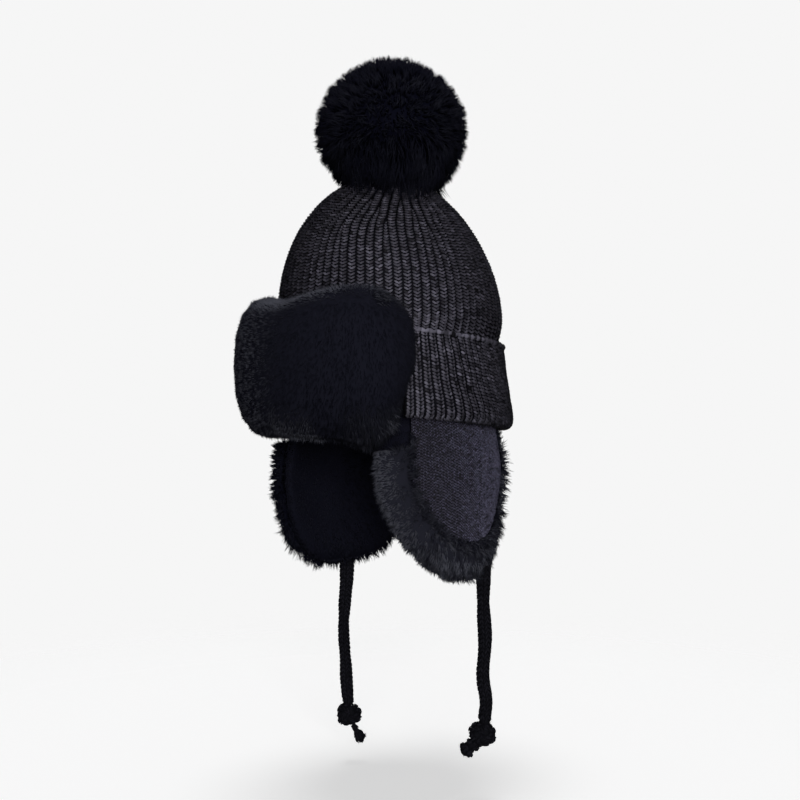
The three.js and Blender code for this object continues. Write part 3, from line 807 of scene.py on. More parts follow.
# Cuff: the turned-up rib band, whose section is a closed outline with a rounded fold below.
cuff = {"bottom": -209.5, "firstTurn": 55.5, "ribs": 64, "height": 71, "lean": 6.5, "endRibs": 8,
        "ribDepth": 2.6, "crestInset": 1.2, "leastDepth": 0.25, "innerInset": (1.5, 4.0), "stray": 0.12,
        "stitchMargins": (3.0, 1.0), "fold": (2, 12), "outside": (-0.1, 0.5), "sectionPoints": 72,
        "columnsPerRib": 4, "rows": 54}
# How the cuff's ribs waver on their way up: degrees, millimetres and each rib's own phase.
ribWaves = [{"size": 0.35, "length": 9, "phase": 0.35}, {"size": 0.25, "length": 4.5, "phase": 1}]
cuffSection = [
    {"rise": 5.8, "offset": -0.8}, {"rise": 36, "offset": -2.0}, {"rise": 66, "offset": -2.6},
    {"rise": 70, "offset": -2.2}, {"rise": 71, "offset": -0.6}, {"rise": 69.5, "offset": 1.2},
    {"rise": 50, "offset": 3.6}, {"rise": 28, "offset": 6.9}, {"rise": 12, "offset": 9.3},
    {"rise": 4, "offset": 8.6}, {"rise": 0, "offset": 4.2}, {"rise": 0.4, "offset": -1.8},
    {"rise": 2.6, "offset": -5.3}, {"rise": 4.3, "offset": -5.3}, {"rise": 4.3, "offset": -1.2},
]


def cuffOutline():
    # The section's points and outward normals, by arc length.
    rise, offset = columns(cuffSection, "rise", "offset")
    points = splineThrough(np.stack([offset, rise], axis=1), cuff["sectionPoints"], closed=True)
    ahead = np.roll(points, -1, axis=0) - np.roll(points, 1, axis=0)
    normal = unit(np.stack([ahead[:, 1], -ahead[:, 0]], axis=1))
    area = np.sum(points[:, 0] * np.roll(points[:, 1], -1) - np.roll(points[:, 0], -1) * points[:, 1])
    normal = normal * (1 if area > 0 else -1)
    length = np.linalg.norm(np.roll(points, -1, axis=0) - points, axis=1).sum()
    return points, normal, length


cuffPoints, cuffNormals, cuffLength = cuffOutline()
cuffWave = dice.uniform(0, 2 * math.pi, cuff["ribs"] + 1)


def readRound(table, share):
    at = (share % 1.0) * len(table)
    low = np.floor(at).astype(int) % len(table)
    return lerp(table[low], table[(low + 1) % len(table)], (at - np.floor(at))[:, None])


def cuffPoint(share, rib, inset):
    outline, normal = readRound(cuffPoints, share), unit(readRound(cuffNormals, share))
    offset = outline[:, 0] - normal[:, 0] * inset
    rise = outline[:, 1] - normal[:, 1] * inset
    sweep = 360 - 2 * cuff["firstTurn"]
    turn = cuff["firstTurn"] + sweep * rib / cuff["ribs"]
    hold = smoothstep(0, cuff["endRibs"], np.minimum(rib, cuff["ribs"] - rib))
    lean = cuff["lean"] * np.sin(np.radians(turn)) * (1 - rise / cuff["height"])
    phase = np.interp(rib, np.arange(cuff["ribs"] + 1), cuffWave)
    wave = sum(row["size"] * np.sin(rise / row["length"] + phase * row["phase"]) for row in ribWaves)
    turn = turn + (lean + wave) * hold
    return headPoint(turn, cuff["bottom"] + rise + tiltAt(turn), offset)


def cuffDepth(share):
    # Ribs are full on the outside and the fold, and shallow against the crown.
    outside = readRound(cuffNormals, share)[:, 0]
    below = 1 - smoothstep(*cuff["fold"], readRound(cuffPoints, share)[:, 1])
    return np.clip(np.maximum(smoothstep(*cuff["outside"], outside), below), cuff["leastDepth"], 1)


def cuffFurrow(rib):
    return 1 - np.sin(math.pi * (rib % 1.0))


def makeCuffBase():
    def placeAt(u, v):
        rib = u * cuff["ribs"]
        depth = cuffDepth(v)
        inset = (cuff["crestInset"] + cuff["ribDepth"] * cuffFurrow(rib)) * depth
        most = lerp(*cuff["innerInset"], smoothstep(0, 0.3, depth - cuff["leastDepth"]))
        return cuffPoint(v, rib, np.minimum(inset, most))

    return wrapGrid("cuff_base", cuff["ribs"] * cuff["columnsPerRib"], cuff["rows"], placeAt, capEnds=True)


def cuffShares():
    # Where the outside begins and ends on the section: from its top edge round to below the rim.
    top = int(np.argmax(cuffPoints[:, 1]))
    inner = int(np.argmin(np.where(cuffPoints[:, 1] < 8, cuffPoints[:, 0], 99)))
    return top / len(cuffPoints), inner / len(cuffPoints)


def cuffRibPoint(share, rib, inset):
    # A place on the cuff's rounded ribs.
    return cuffPoint(share, rib, inset + cuff["ribDepth"] * knit["seat"] * cuffFurrow(rib) * cuffDepth(share))


def makeCuffStitches():
    first, last = cuffShares()
    before, after = cuff["stitchMargins"]
    rows = np.arange(before, (last - first) * cuffLength - after, knit["pitch"]) + first * cuffLength
    legs = ribStitches(
        lambda along, across, inset: cuffRibPoint(along / cuffLength, across, inset), cuff["ribs"], rows,
        cuff["stray"], lambda rib, at: np.full(len(at), True), -1)
    return joinArrays([legs, makeEdgeChain(first)])


edgeChain = {"step": 0.5, "below": 0.2, "inset": 0.2, "slant": 0.75, "tuck": 0.3, "size": (5.2, 2.8, 3.0),
             "uneven": (0.85, 1.15), "tone": (0.60, 0.35), "brightest": 1.6}


def makeEdgeChain(first):
    # The cast-off edge: slanted loops side by side along the top of the cuff.
    rib = np.arange(edgeChain["step"] / 2, cuff["ribs"], edgeChain["step"])
    share = np.full(len(rib), first + edgeChain["below"] / cuffLength)
    centre, before, after = (cuffPoint(share, rib + step, edgeChain["inset"]) for step in (0, -0.1, 0.1))
    side = unit(after - before)
    out = unit(np.stack([centre[:, 0], centre[:, 1], 0 * rib], axis=1))
    up = np.tile([0, 0, 1.0], (len(rib), 1))
    turns = np.where(np.arange(len(rib)) % 2, 1, -1)[:, None]
    axis = unit(side + up * edgeChain["slant"] * turns + out * edgeChain["tuck"])
    sizes = np.tile(edgeChain["size"], (len(rib), 1)) * dice.uniform(*edgeChain["uneven"], (len(rib), 1))
    tone = np.clip(dice.normal(*edgeChain["tone"], len(rib)), 0, edgeChain["brightest"])
    return grains(centre, axis, unit(out + up), sizes, tone)


cuffBase = makeCuffBase()
cuffBits = makeCuffStitches()
cuffPiece, cuffStitchPiece = knitPieces("cuff", cuffBase, cuffBits, "cuff")
print("cuff made", len(cuffBits[1]))


# Ear flaps: a fine plain-knit panel outside, fur round its edge and on its inside.
earPanel = {"centre": 93, "frontHalf": 33, "backHalf": 39, "sideEnd": -250, "depth": 58,
            "frontPower": 1.65, "backPower": 2.3, "rise": 12, "thickness": 3,
            "columnWidth": 2.5, "rowHeight": 2.3, "faceShare": 0.47, "inset": 0.8, "columns": 44, "rows": 66}
jersey = {"sideMargin": 0.8, "lowMargin": 1.5, "top": -201.0, "rowStray": 1.2, "legAt": 0.23,
          "legShift": 0.25, "stray": 0.12, "turnStray": 0.02, "size": (0.80, 0.36, 1.2),
          "uneven": (0.85, 1.15), "inset": 0.55, "lean": 0.42, "tone": (0.47, 0.22), "bright": 0.95,
          "brightTone": 0.5, "brightest": 1.6, "baseTone": 0.45}
earFace = [
    {"height": -345, "offset": -5.0}, {"height": -300, "offset": -2.6}, {"height": -262, "offset": -1.4},
    {"height": -248, "offset": -1.7}, {"height": -236, "offset": -3.0}, {"height": -224, "offset": -5.0},
    {"height": -214, "offset": -6.3}, {"height": -204, "offset": -7.0}, {"height": -186, "offset": -7.7},
]
earTuck = {"depth": 8, "firstTurn": 92, "lastTurn": 140, "firstHeight": -240, "lastHeight": -335}


def earBottom(turn):
    away = turn - earPanel["centre"]
    half = np.where(away < 0, earPanel["frontHalf"], earPanel["backHalf"])
    power = np.where(away < 0, earPanel["frontPower"], earPanel["backPower"])
    share = np.minimum(np.abs(away) / half, 1)
    return earPanel["sideEnd"] - earPanel["depth"] * (1 - share ** power) ** (1 / power)


def earOffset(turn, height):
    back = smoothstep(earTuck["firstTurn"], earTuck["lastTurn"], turn)
    low = smoothstep(-earTuck["firstHeight"], -earTuck["lastHeight"], -height)
    heights, offsets = columns(earFace, "height", "offset")
    return np.interp(height, heights, offsets) - earTuck["depth"] * back * low


def earPoint(side, turn, height, inset):
    return headPoint(side * turn, height, earOffset(turn, height) - inset)


def earTurn(share):
    # The turn from the panel's front edge, at -1, to its back edge, at 1.
    return earPanel["centre"] + share * np.where(share < 0, earPanel["frontHalf"], earPanel["backHalf"])


def makeEarWall(side):
    face = earPanel["faceShare"]

    def placeAt(u, v):
        # v runs down the outer face, round the lower edge and up the inner face.
        turn = earTurn(np.sin(math.pi / 2 * (2 * u - 1)))
        top = crown["rimHeight"] + tiltAt(turn) + earPanel["rise"]
        height = lerp(top, earBottom(turn), np.clip(np.minimum(v, 1 - v) / face, 0, 1))
        inward = np.clip((v - face) / (1 - 2 * face), 0, 1)
        return earPoint(side, turn, height, lerp(earPanel["inset"], earPanel["thickness"], inward))

    return wrapGrid("shell_base", earPanel["columns"], earPanel["rows"], placeAt, capEnds=True)


def makeJersey(side):
    turn, height, hand = [], [], []
    columnTurn = earPanel["columnWidth"] / (math.radians(1) * head["halfWidth"])
    first, last = earTurn(np.array([-1, 1])) - np.array([-1, 1]) * jersey["sideMargin"]
    for at in np.arange(first, last, columnTurn):
        low = float(earBottom(np.array([at]))[0]) + jersey["lowMargin"]
        top = jersey["top"] + dice.uniform(-jersey["rowStray"], jersey["rowStray"])
        rows = np.arange(top, low, -earPanel["rowHeight"])
        for leg in (-1, 1):
            turn.append(np.full(len(rows), at + leg * jersey["legAt"] * columnTurn))
            shift = leg * jersey["legShift"] * earPanel["rowHeight"]
            height.append(rows + shift + dice.normal(0, jersey["stray"], len(rows)))
            hand.append(np.full(len(rows), leg))
    turn, height, hand = (np.concatenate(x) for x in (turn, height, hand))
    count = len(turn)
    turn = turn + dice.normal(0, jersey["turnStray"], count)
    size = np.array(jersey["size"]) * [earPanel["rowHeight"], earPanel["columnWidth"], 1]
    sizes = np.tile(size, (count, 1)) * dice.uniform(*jersey["uneven"], (count, 1))
    tone = dice.normal(*jersey["tone"], count)
    tone = tone + jersey["brightTone"] * (dice.random(count) > jersey["bright"])
    place = lambda along, across, inset: earPoint(side, across, along, inset)
    return surfaceBits(place, height, turn, hand * side, jersey["inset"], sizes, jersey["lean"] * side,
                       np.clip(tone, 0, jersey["brightest"]))


def makeEarShell(name, side):
    wall, bits = makeEarWall(side), makeJersey(side)
    setTone(wall, np.full(len(wall.vertices), jersey["baseTone"]))
    panel = addPiece(f"ear_panel_{name}", wall, shadeYarn, [f"ear_flap_shell_{name}"])
    stitchMesh = meshFromArrays("ear_stitches", *bits)
    return panel, addPiece(f"ear_stitches_{name}", stitchMesh, jerseyYarn, ())


sides = {"left": 1, "right": -1}
earShells = {name: makeEarShell(name, side) for name, side in sides.items()}
print("ear panels made")


# Fur. Each fur piece is a dark backing and thousands of hairs combed the way that the pile lies.
coat = {"uneven": (0.78, 1.12), "deepest": 0.8, "lift": 2, "waves": 5}


def combDown(roots, outs):
    down = np.tile([0, 0, -1.0], (len(roots), 1))
    return unit(down - outs * (outs @ [0, 0, -1.0])[:, None])


def waveField(size):
    # A smooth field that changes over a given distance, as a function of the points.
    waves, shift = dice.normal(0, 1, (coat["waves"], 3)) / size, dice.uniform(0, 2 * math.pi, coat["waves"])
    return lambda points: np.sin(points @ waves.T + shift).mean(axis=1)


def uneven(points, size):
    return waveField(size)(points)


def hairCoat(node, look):
    # Hairs over one node's form.
    form = mergedCopy(node)
    count = look["hairs"]
    roots, outs = spreadOn(form, count, look.get("weigh"))
    bpy.data.meshes.remove(form)
    length = look["length"](roots, outs) * dice.uniform(*coat["uneven"], count)
    comb = look["comb"](roots, outs)
    comb = comb + look["patchShare"] * np.stack([uneven(roots, look["patch"]) for _ in range(3)], axis=1)
    lay = look["lay"](roots, outs)[:, None]
    direction = unit(outs * (1 - lay) + comb * lay + dice.normal(0, look["scatter"], (count, 3)))
    base = roots - outs * np.minimum(look["sink"], length * coat["deepest"])[:, None]
    tips = base + direction * length[:, None]
    tips, tufts = drawTogether(base, tips, look["tuft"], look["gather"])
    lift = look["width"][0] * coat["lift"]
    tone = look["tone"](roots, outs) * dice.uniform(*look["toneSpread"], count)
    tone = tone * np.exp(dice.normal(0, look["tuftContrast"], count))[tufts]
    return strands(base + outs * lift, unit(outs + direction * look["lean"]), tips,
                   dice.uniform(*look["width"], count), tone, look["rings"], look["paintedRootShade"])


def furPiece(name, coats):
    parts = []
    for node, look in coats.items():
        backing = mergedCopy(node, look["backingShrink"])
        points, _, triangles = asArrays(backing)
        bpy.data.meshes.remove(backing)
        parts.append((points, triangles, np.full(len(points), look["backingTone"])))
        parts.append(hairCoat(node, look))
        parts += [extra() for extra in look.get("extras", ())]
    mesh = meshFromArrays(name, *joinArrays(parts))
    print(name, len(mesh.polygons))
    return addPiece(name, mesh, furPile, list(coats))


# Pompom: long hair in pointed tufts, hanging over the crown at the bottom.
keyward = np.array([0.73, -0.68, 0.0])
flatways = np.array([1, 1, 0])
downward = np.array([0, 0, -1.0])
pompom = {
    "radius": 60, "length": 15.0, "lumpSize": 16, "lumps": 0.12, "hangLength": 30.0, "hangLumps": 0.2,
    "hangFrom": (14, 34), "front": (0.10, 0.75), "lay": 0.10, "hangLay": 0.84, "sideLay": 0.35,
    "outwards": (-0.18, 0.18), "notch": unit(np.array([-0.35, -0.10, 0.93])), "notchWidth": 0.975,
    "notchDepth": 0.55, "tone": 0.115, "toneUneven": 0.05, "toneSize": 22, "top": (0.45, 0.9),
    "topShade": 0.5,
}


def pompomHang(roots):
    # 1 low on the ball, where the hair hangs straight down over the crown.
    return 1 - smoothstep(*pompom["hangFrom"], roots[:, 2])


def pompomFront(roots):
    # 1 at the front and the back of the ball, 0 at its sides.
    return smoothstep(*pompom["front"], (unit(roots * flatways) @ keyward) ** 2)


def pompomLength(roots, outs):
    lumps = uneven(outs * pompom["radius"], pompom["lumpSize"])
    notch = smoothstep(pompom["notchWidth"], 1.0, outs @ pompom["notch"])
    hang = pompom["hangLength"] * pompomHang(roots) * pompomFront(roots) * (1 + pompom["hangLumps"] * lumps)
    return pompom["length"] * (1 + pompom["lumps"] * lumps) * (1 - pompom["notchDepth"] * notch) + hang


def pompomLay(roots, outs):
    hang = pompomHang(roots) * lerp(pompom["sideLay"], 1, pompomFront(roots))
    return pompom["lay"] + pompom["hangLay"] * hang


def pompomComb(roots, outs):
    # Down, a little outwards at the front and the back and a little inwards at the sides.
    away = unit(roots * flatways)
    return unit(away * lerp(*pompom["outwards"], (away @ keyward) ** 2)[:, None] + downward)


def pompomTone(roots, outs):
    # The top of the ball is painted darker: painted shade against the overhead lamp's light.
    top = smoothstep(*pompom["top"], outs[:, 2])
    patches = pompom["toneUneven"] * uneven(roots, pompom["toneSize"])
    return (pompom["tone"] + patches) * (1 - pompom["topShade"] * top)


longFur = {"patchShare": 0.5, "toneSpread": (0.6, 1.4), "tuftContrast": 0.3, "rings": 2, "paintedRootShade": 0.35}
velvet = {"patch": 40, "lean": 0.8, "tuft": 10, "tuftContrast": 0.04, "rings": 1, "backingShrink": 1.8}
pompomLook = dict(
    longFur, hairs=16000, length=pompomLength, sink=11.0, comb=pompomComb, lay=pompomLay, lean=0.6, patch=18,
    patchShare=0.9, scatter=0.18, tuft=20, gather=0.72, width=(0.36, 0.64), tone=pompomTone,
    tuftContrast=0.22, backingShrink=7.0, backingTone=0.03)
pompomPiece = furPiece("fur_pompom", {"pompom": pompomLook})


# Brow flap: short velvet, curly at the wearer's right end, with a pale painted rim light along its edges.
brow = {
    "curlStart": 8, "curlEnd": -14, "rimStart": -23, "rimEnd": -35, "cornerTurn": (24, 34),
    "cornerHeight": (184, 204), "bandFade": 4, "paintedTopRimTurns": (-14, 24), "paintedBottomRimTurns": (0, 15), "waveSize": 2.3,
    "ridge": (0.04, 0.28), "length": 6.0, "edgeLength": 1.5, "ridgeLength": 2.4, "curlLength": -3.2,
    "cornerLength": 6.0, "lay": 0.5, "curlLay": -0.45, "curlHairs": 1.6,
}
# How pale the brow's hairs are. Most of it is painted light and shade: paler where the pile turns away from
# the key lamp or faces down, a painted rim light along the top, the bottom and the wearer's right end, and
# curl crests painted paler than the creases, as painted shade in the creases.
browShade = {
    "plain": 0.28, "facing": -0.19, "leastFacing": 0.2, "underFacing": 0.7, "uneven": 0.01, "unevenSize": 30,
    "curl": 0.5, "ridge": 0.55, "up": (0.55, 0.95), "top": 0.35, "paintedTopRim": 0.85, "down": (0.15, 0.95),
    "bottom": 0.06, "paintedBottomRim": 1.1, "rim": 0.45, "corner": 0.15,
}


def browTurn(roots):
    return np.degrees(np.arctan2(roots[:, 0], -roots[:, 1]))


def browCurl(roots):
    return smoothstep(-brow["curlStart"], -brow["curlEnd"], -browTurn(roots))


browWaves = waveField(brow["waveSize"])


def browRidge(roots):
    # 1 on the crests of the curly pile, 0 in the creases between them.
    return browCurl(roots) * (1 - smoothstep(*brow["ridge"], np.abs(browWaves(roots))))


def browBand(roots, band):
    # 1 between two turns and 0 some way outside them.
    turn, fade = browTurn(roots), brow["bandFade"]
    return smoothstep(band[0] - fade, band[0], turn) * (1 - smoothstep(band[1], band[1] + fade, turn))


def browCorner(roots):
    # 1 at the lower corner of the wearer's left end, where loose hair hangs out.
    return smoothstep(*brow["cornerTurn"], browTurn(roots)) * smoothstep(*brow["cornerHeight"], -roots[:, 2])


def browTone(roots, outs):
    # Painted light: the pile is paler where it turns from the key lamp, and along its top, its bottom and the
    # wearer's right end as a rim light.
    shade, curl = browShade, browCurl(roots)
    rim = smoothstep(-brow["rimStart"], -brow["rimEnd"], -browTurn(roots))
    facing = outs @ keyward + shade["underFacing"] * np.maximum(-outs[:, 2], 0)
    facing = np.clip(facing, shade["leastFacing"], 1)
    plain = shade["plain"] + shade["facing"] * facing + shade["uneven"] * uneven(roots, shade["unevenSize"])
    plain = plain * (1 - shade["curl"] * curl) + shade["ridge"] * browRidge(roots)
    top = shade["top"] + shade["paintedTopRim"] * browBand(roots, brow["paintedTopRimTurns"])
    bottom = shade["bottom"] + shade["paintedBottomRim"] * browBand(roots, brow["paintedBottomRimTurns"])
    edges = smoothstep(*shade["up"], outs[:, 2]) * top + smoothstep(*shade["down"], -outs[:, 2]) * bottom
    return plain + edges + shade["rim"] * rim + shade["corner"] * browCorner(roots)


def browLength(roots, outs):
    curly = brow["ridgeLength"] * browRidge(roots) + brow["curlLength"] * browCurl(roots)
    edges = brow["edgeLength"] * np.abs(outs[:, 2]) + brow["cornerLength"] * browCorner(roots)
    return brow["length"] + curly + edges


def browLay(roots, outs):
    return brow["lay"] + brow["curlLay"] * browCurl(roots)


# Where the loose hairs start: turn, height and offset, how far they spread, and which way they lie.
browTufts = [
    {"at": (50, -212, 22), "spread": 5.5, "fall": (0.7, -0.8), "count": 110},
    {"at": (46, -105, 24), "spread": 4.5, "fall": (0.8, -0.6), "count": 60},
]
browHair = {"out": 0.35, "scatter": 0.35, "length": (4, 8), "rootScatter": 0.3, "width": (0.28, 0.45),
            "tone": (0.3, 1.4), "rings": 3}


def browStrays():
    # Pale loose hairs on the flap's two corners beside the cuff.
    form = mergedCopy("front_flap")
    tufts = []
    for row in browTufts:
        count, centre = row["count"], headPoint(*row["at"])
        near = lambda points, normals: np.exp(-np.sum((points - centre) ** 2, axis=1) / row["spread"] ** 2)
        roots, outs = spreadOn(form, count, near)
        along = np.cross([0, 0, 1.0], unit(roots * flatways)) * row["fall"][0] - downward * row["fall"][1]
        direction = unit(along + outs * browHair["out"] + dice.normal(0, browHair["scatter"], (count, 3)))
        tips = roots + direction * dice.uniform(*browHair["length"], (count, 1))
        ways = unit(outs + dice.normal(0, browHair["rootScatter"], (count, 3)))
        tufts.append(strands(roots - outs, ways, tips, dice.uniform(*browHair["width"], count),
                             dice.uniform(*browHair["tone"], count), browHair["rings"]))
    bpy.data.meshes.remove(form)
    return joinArrays(tufts)


browLook = dict(
    velvet, hairs=36000, length=browLength, sink=4.0, comb=combDown, lay=browLay, patchShare=0.25,
    scatter=0.08, gather=0.1, width=(0.44, 0.66), tone=browTone, toneSpread=(0.9, 1.1), paintedRootShade=0.8,
    backingTone=0.10, weigh=lambda points, normals: 1 + brow["curlHairs"] * browCurl(points),
    extras=[browStrays])
browPiece = furPiece("fur_brow_flap", {"front_flap": browLook})


# Ear flaps: dark velvet inside, and longer combed fur that rolls round the panel's edge.
trim = {
    "middle": (-262.0, -2.0), "fall": 0.45, "nearPanel": (3.0, 10.0), "edgePoints": 60, "climbPoints": 12,
    "climbTo": -216.0, "overEdge": 1.7, "overUneven": (0.3, 1.0), "low": (285, 322), "back": (0.3, 0.9),
    "backSide": 0.5, "length": 6.5, "lowLength": 4.0, "backLength": 6.0, "unevenLength": 1.5, "lengthSize": 5,
    "lay": 0.45, "lowLay": 0.25, "front": (0.2, 0.9), "tip": (322, 338), "tipShade": 0.6, "tone": 0.34,
    "frontPaintedLight": 1.05, "lowPaintedHighlight": 0.50, "lowUneven": 1.2, "lowSize": 2.4, "unevenTone": 0.20, "toneSize": 9,
    "leastTone": 0.04,
}
# The far flap's trim is painted far darker than the near one: painted shade on the flap that lies in shadow.
farTrim = {"length": 11.0, "lowLength": 3.0, "unevenLength": 2.5, "lengthSize": 9, "lay": 0.35, "tone": 0.08,
           "unevenTone": 0.04, "toneSize": 7}
lining = {"length": 6.0, "lowLength": 2.5, "low": (300, 330), "lay": 0.55, "tone": 0.105, "unevenTone": 0.02,
          "toneSize": 30}


def combFromPanel(roots, outs):
    # Away from the middle of the panel and down.
    height, offset = trim["middle"]
    middle = headPoint(np.sign(roots[:, 0]) * earPanel["centre"], height, offset)
    away = unit(roots - middle) + downward * trim["fall"]
    return unit(away - outs * np.sum(outs * away, axis=1)[:, None])


def nearPanel(roots):
    # 1 beside the panel's edge, falling to 0 some way from it.
    turn = earTurn(np.linspace(-1, 1, trim["edgePoints"]))
    climb = lerp(earPanel["sideEnd"], trim["climbTo"], np.linspace(0, 1, trim["climbPoints"]))
    turns = np.concatenate([turn, 0 * climb + turn[0], 0 * climb + turn[-1]])
    heights = np.concatenate([earBottom(turn), climb, climb])
    edge = earPoint(np.sign(roots[0, 0]), turns, heights, 0.0)
    gap = np.linalg.norm(roots[:, None, :] - edge[None, :, :], axis=2).min(axis=1)
    return 1 - smoothstep(*trim["nearPanel"], gap)


def combOverEdge(roots, outs):
    # Close to the panel the pile leans over its edge; further out it lies away from it.
    over = trim["overEdge"] * nearPanel(roots) * dice.uniform(*trim["overUneven"], len(roots))
    return combFromPanel(roots, outs) * (1 - over)[:, None]


def trimLow(roots):
    return smoothstep(*trim["low"], -roots[:, 2])


def trimBack(roots, outs):
    # 1 on the side that faces the back of the head.
    facing = outs[:, 1] + trim["backSide"] * np.abs(outs[:, 0])
    return smoothstep(*trim["back"], facing) * (1 - trimLow(roots))


def trimLength(roots, outs):
    low = trimLow(roots)
    patches = trim["unevenLength"] * (1 + low) * uneven(roots, trim["lengthSize"])
    return trim["length"] + trim["lowLength"] * low + trim["backLength"] * trimBack(roots, outs) + patches


def trimLay(roots, outs):
    return trim["lay"] + trim["lowLay"] * trimLow(roots)


def trimTone(roots, outs):
    # The near side's front edge is painted paler where it faces the front, and its lower fringe carries pale
    # streaks that fade near the lowest tip: painted light and painted highlights.
    front = smoothstep(*trim["front"], -outs[:, 1]) * (1 - trimLow(roots))
    tip = smoothstep(*trim["tip"], -roots[:, 2])
    fringe = trim["lowPaintedHighlight"] + trim["lowUneven"] * uneven(roots, trim["lowSize"])
    low = fringe * trimLow(roots) * (1 - trim["tipShade"] * tip)
    patches = trim["unevenTone"] * uneven(roots, trim["toneSize"])
    return np.maximum(trim["tone"] + trim["frontPaintedLight"] * front + low + patches, trim["leastTone"])


def evenTone(look):
    return lambda roots, outs: look["tone"] + look["unevenTone"] * uneven(roots, look["toneSize"])


def evenLay(look):
    return lambda roots, outs: look["lay"] + 0 * roots[:, 0]


def farTrimLength(roots, outs):
    patches = farTrim["unevenLength"] * uneven(roots, farTrim["lengthSize"])
    return farTrim["length"] + farTrim["lowLength"] * trimLow(roots) + patches


def liningLength(roots, outs):
    return lining["length"] + lining["lowLength"] * smoothstep(*lining["low"], -roots[:, 2])


trimLooks = {
    "left": dict(
        longFur, hairs=10500, length=trimLength, sink=4.5, comb=combOverEdge, lay=trimLay, lean=0.8, patch=16,
        scatter=0.13, tuft=12, gather=0.6, width=(0.26, 0.46), tone=trimTone, paintedRootShade=0.65,
        backingShrink=2.4, backingTone=0.2),
    # The far side's darker tone and darker backing are painted shade.
    "right": dict(
        longFur, hairs=6500, length=farTrimLength, sink=4.5, comb=combFromPanel, lay=evenLay(farTrim),
        lean=0.5, patch=12, scatter=0.24, tuft=8, gather=0.88, width=(0.38, 0.6), tone=evenTone(farTrim),
        backingShrink=2.4, backingTone=0.04),
}
liningLook = dict(
    velvet, hairs=11000, length=liningLength, sink=3.5, comb=combFromPanel, lay=evenLay(lining),
    patchShare=0.2, scatter=0.10, gather=0.15, width=(0.5, 0.75), tone=evenTone(lining),
    toneSpread=(0.92, 1.08), paintedRootShade=0.9, backingTone=0.07)
fringe = {
    "hairs": 1900, "run": 1.45, "atSides": 0.98, "stray": 0.8, "aside": (-0.5, 1.2), "inward": 0.6,
    "proud": 0.6, "sink": 1.2, "over": 0.22, "overComb": (0.3, 1.0), "overFall": 0.5, "fan": 0.35,
    "fanComb": (0.2, 1.0), "scatter": 0.25, "overLength": 5.5, "fanLength": 7.0, "lowFan": 7.0,
    "low": (270, 306), "uneven": (0.6, 1.2), "tuft": 7, "gather": 0.5, "tone": (2.0, 0.16),
    "toneEnds": (0.03, 1.4), "tuftContrast": 0.5, "width": (0.3, 0.5),
}


def panelFringe(side):
    # Hairs that rise from the seam round the panel: some lie over its edge, some fan out below it.
    count = fringe["hairs"]
    share = np.clip(dice.uniform(-fringe["run"], fringe["run"], count), -1, 1)
    edge = earTurn(share)
    climb = np.where(np.abs(share) > fringe["atSides"], dice.random(count), 0.0)
    height = lerp(earBottom(edge), trim["climbTo"], climb) + dice.normal(0, fringe["stray"], count)
    turn = edge + np.sign(share) * dice.uniform(*fringe["aside"], count)
    inward = (dice.random(count) < fringe["inward"])[:, None]
    roots = earPoint(side, turn, height, -fringe["proud"])
    outs = unit(roots * flatways)
    comb = combFromPanel(roots, outs)
    over = outs * fringe["over"] - comb * dice.uniform(*fringe["overComb"], (count, 1))
    over = over + downward * fringe["overFall"]
    fan = outs * fringe["fan"] + comb * dice.uniform(*fringe["fanComb"], (count, 1))
    direction = unit(np.where(inward, over, fan) + dice.normal(0, fringe["scatter"], (count, 3)))
    fanLength = fringe["fanLength"] + fringe["lowFan"] * smoothstep(*fringe["low"], -height)
    long = np.where(inward[:, 0], fringe["overLength"], fanLength) * dice.uniform(*fringe["uneven"], count)
    tips, tufts = drawTogether(roots, roots + direction * long[:, None], fringe["tuft"], fringe["gather"])
    tone = np.clip(dice.gamma(*fringe["tone"], count), *fringe["toneEnds"])
    tone = tone * np.exp(dice.normal(0, fringe["tuftContrast"], count))[tufts]
    return strands(roots - outs * fringe["sink"], outs, tips, dice.uniform(*fringe["width"], count), tone, 2)


for name, side in sides.items():
    edged = dict(trimLooks[name], extras=[lambda side=side: panelFringe(side)])
    furPiece(f"ear_fur_{name}", {f"ear_flap_trim_{name}": edged,
                                                 f"ear_flap_lining_{name}": liningLook})


# Floor, light and the pale surroundings. Metres, and degrees for a light's angle.
studio = {"floor": -0.527, "paper": 0.95, "bounce": 0.32, "glow": 0.452, "near": 0.22, "far": 0.95,
          "margin": 0.2, "background": 0.921, "tint": (0.97, 0.98, 1.0, 1), "front": 0.15, "back": 0.08,
          "turnsDark": -0.6, "camera": (0.62, -0.72, 0.32)}
lights = {
    "overhead": {"kind": "SUN", "energy": 0.85, "place": (0.05, -0.19, 2.5), "aim": (0, 0, 0), "angle": 24},
    "key": {"kind": "SUN", "energy": 2.75, "place": (1.53, -1.25, 0.10), "aim": (0, 0, -0.19), "angle": 25},
    "rear": {"kind": "SUN", "energy": 1.3, "place": (-1.2, 1.2, -0.02), "aim": (0, 0, -0.19), "angle": 10},
    "near": {"kind": "AREA", "energy": 1.0, "place": (0.293, -0.242, -0.115), "aim": (0, 0, -0.115),
             "size": 0.08},
}


def grey(value):
    return (value, value, value, 1)


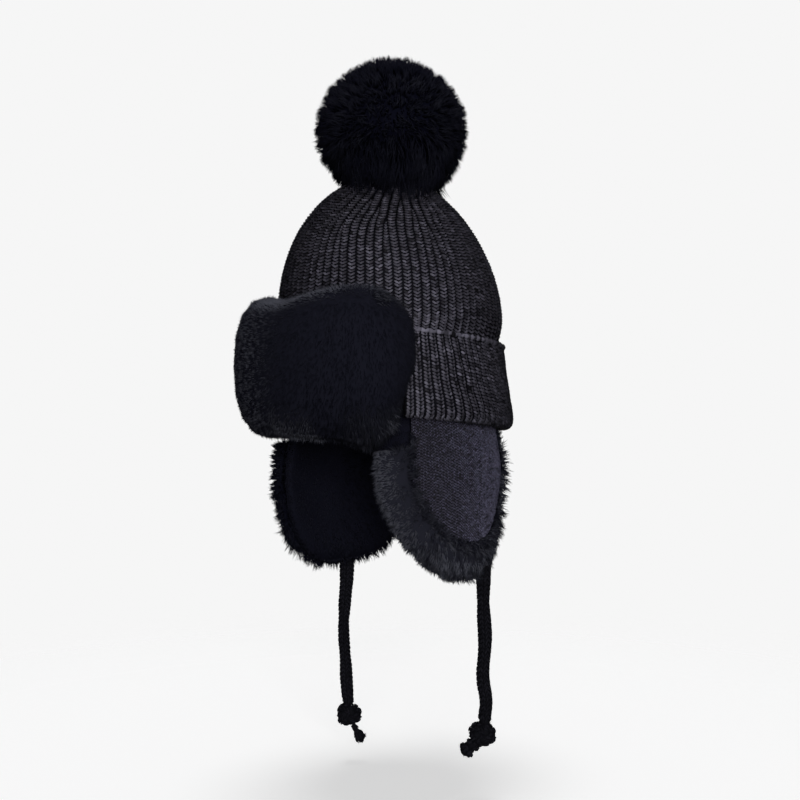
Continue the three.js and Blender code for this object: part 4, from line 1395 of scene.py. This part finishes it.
def makeFloor():
    # A round of pale paper that fades into the background further out.
    bm = bmesh.new()
    bmesh.ops.create_circle(bm, cap_ends=True, segments=96, radius=studio["far"] + studio["margin"])
    bmesh.ops.translate(bm, verts=bm.verts, vec=(0, 0, studio["floor"]))
    mesh = bpy.data.meshes.new("floor")
    bm.to_mesh(mesh)
    bm.free()
    floor = addObject("floor", mesh)
    material, tree, shader = newMaterial("pale paper")
    seen = addNode(tree, "LightPath", {}).outputs["Is Camera Ray"]
    glow = addNode(tree, "Mix", {"Factor": seen, "A": 0.0, "B": studio["glow"]})
    paper = addNode(tree, "Mix", {"Factor": seen, "A": grey(studio["bounce"]), "B": grey(studio["paper"])},
                    data_type="RGBA")
    place = addNode(tree, "TexCoord", {}).outputs["Object"]
    reach = addNode(tree, "VectorMath", {0: place}, operation="LENGTH").outputs["Value"]
    fade = addNode(tree, "MapRange", {
        "Value": reach, "From Min": math.hypot(studio["near"], studio["floor"]),
        "From Max": math.hypot(studio["far"], studio["floor"]), "To Min": 1.0, "To Max": 0.0,
    }, interpolation_type="SMOOTHERSTEP")
    setInputs(tree, shader, {
        "Base Color": paper.outputs["Result"], "Roughness": 0.9, "Specular IOR Level": 0,
        "Emission Color": grey(1), "Emission Strength": glow.outputs["Result"],
        "Alpha": fade.outputs["Result"]})
    mesh.materials.append(material)
    return floor


def makeWorld():
    # The camera sees an even background. The light from it is stronger in front than behind.
    world = bpy.data.worlds.new("studio")
    bpy.context.scene.world = world
    world.use_nodes = True
    tree = world.node_tree
    tree.nodes.clear()
    direction = addNode(tree, "TexCoord", {}).outputs["Generated"]
    towards = addNode(tree, "VectorMath", {0: direction, 1: studio["camera"]}, operation="DOT_PRODUCT")
    ramp = addNode(tree, "MapRange", {
        "Value": towards.outputs["Value"], "From Min": studio["turnsDark"], "From Max": 1.0,
        "To Min": studio["back"], "To Max": studio["front"]}, interpolation_type="SMOOTHSTEP")
    lit = addNode(tree, "Background", {"Color": studio["tint"], "Strength": ramp.outputs["Result"]})
    even = addNode(tree, "Background", {"Color": grey(studio["background"])})
    seen = addNode(tree, "LightPath", {}).outputs["Is Camera Ray"]
    mix = addNode(tree, "MixShader", {"Fac": seen, 1: lit.outputs[0], 2: even.outputs[0]})
    addNode(tree, "OutputWorld", {"Surface": mix.outputs[0]})


def addLight(name, pieces=(), state="INCLUDE"):
    # INCLUDE lights only the pieces given, EXCLUDE all but them.
    row = lights[name]
    data = bpy.data.lights.new(name, row["kind"])
    data.energy = row["energy"]
    if row["kind"] == "AREA":
        data.shape, data.size = "DISK", row["size"]
    else:
        data.angle = math.radians(row["angle"])
    light = addObject(name, data)
    light.location = row["place"]
    light.rotation_euler = (Vector(row["aim"]) - Vector(row["place"])).to_track_quat("-Z", "Y").to_euler()
    light.visible_camera = False
    if pieces:
        receivers = bpy.data.collections.new(name + " pieces")
        for piece in pieces:
            receivers.objects.link(piece)
        light.light_linking.receiver_collection = receivers
        for entry in receivers.collection_objects:
            entry.light_linking.link_state = state


paperFloor = makeFloor()
makeWorld()
ribKnit = [crownPiece, crownStitchPiece, cuffPiece, cuffStitchPiece]
addLight("overhead")
addLight("key", ribKnit, "EXCLUDE")
addLight("rear", [paperFloor], "EXCLUDE")
addLight("near", ribKnit)
bpy.context.scene.view_settings.view_transform = "Standard"
print("studio ready")
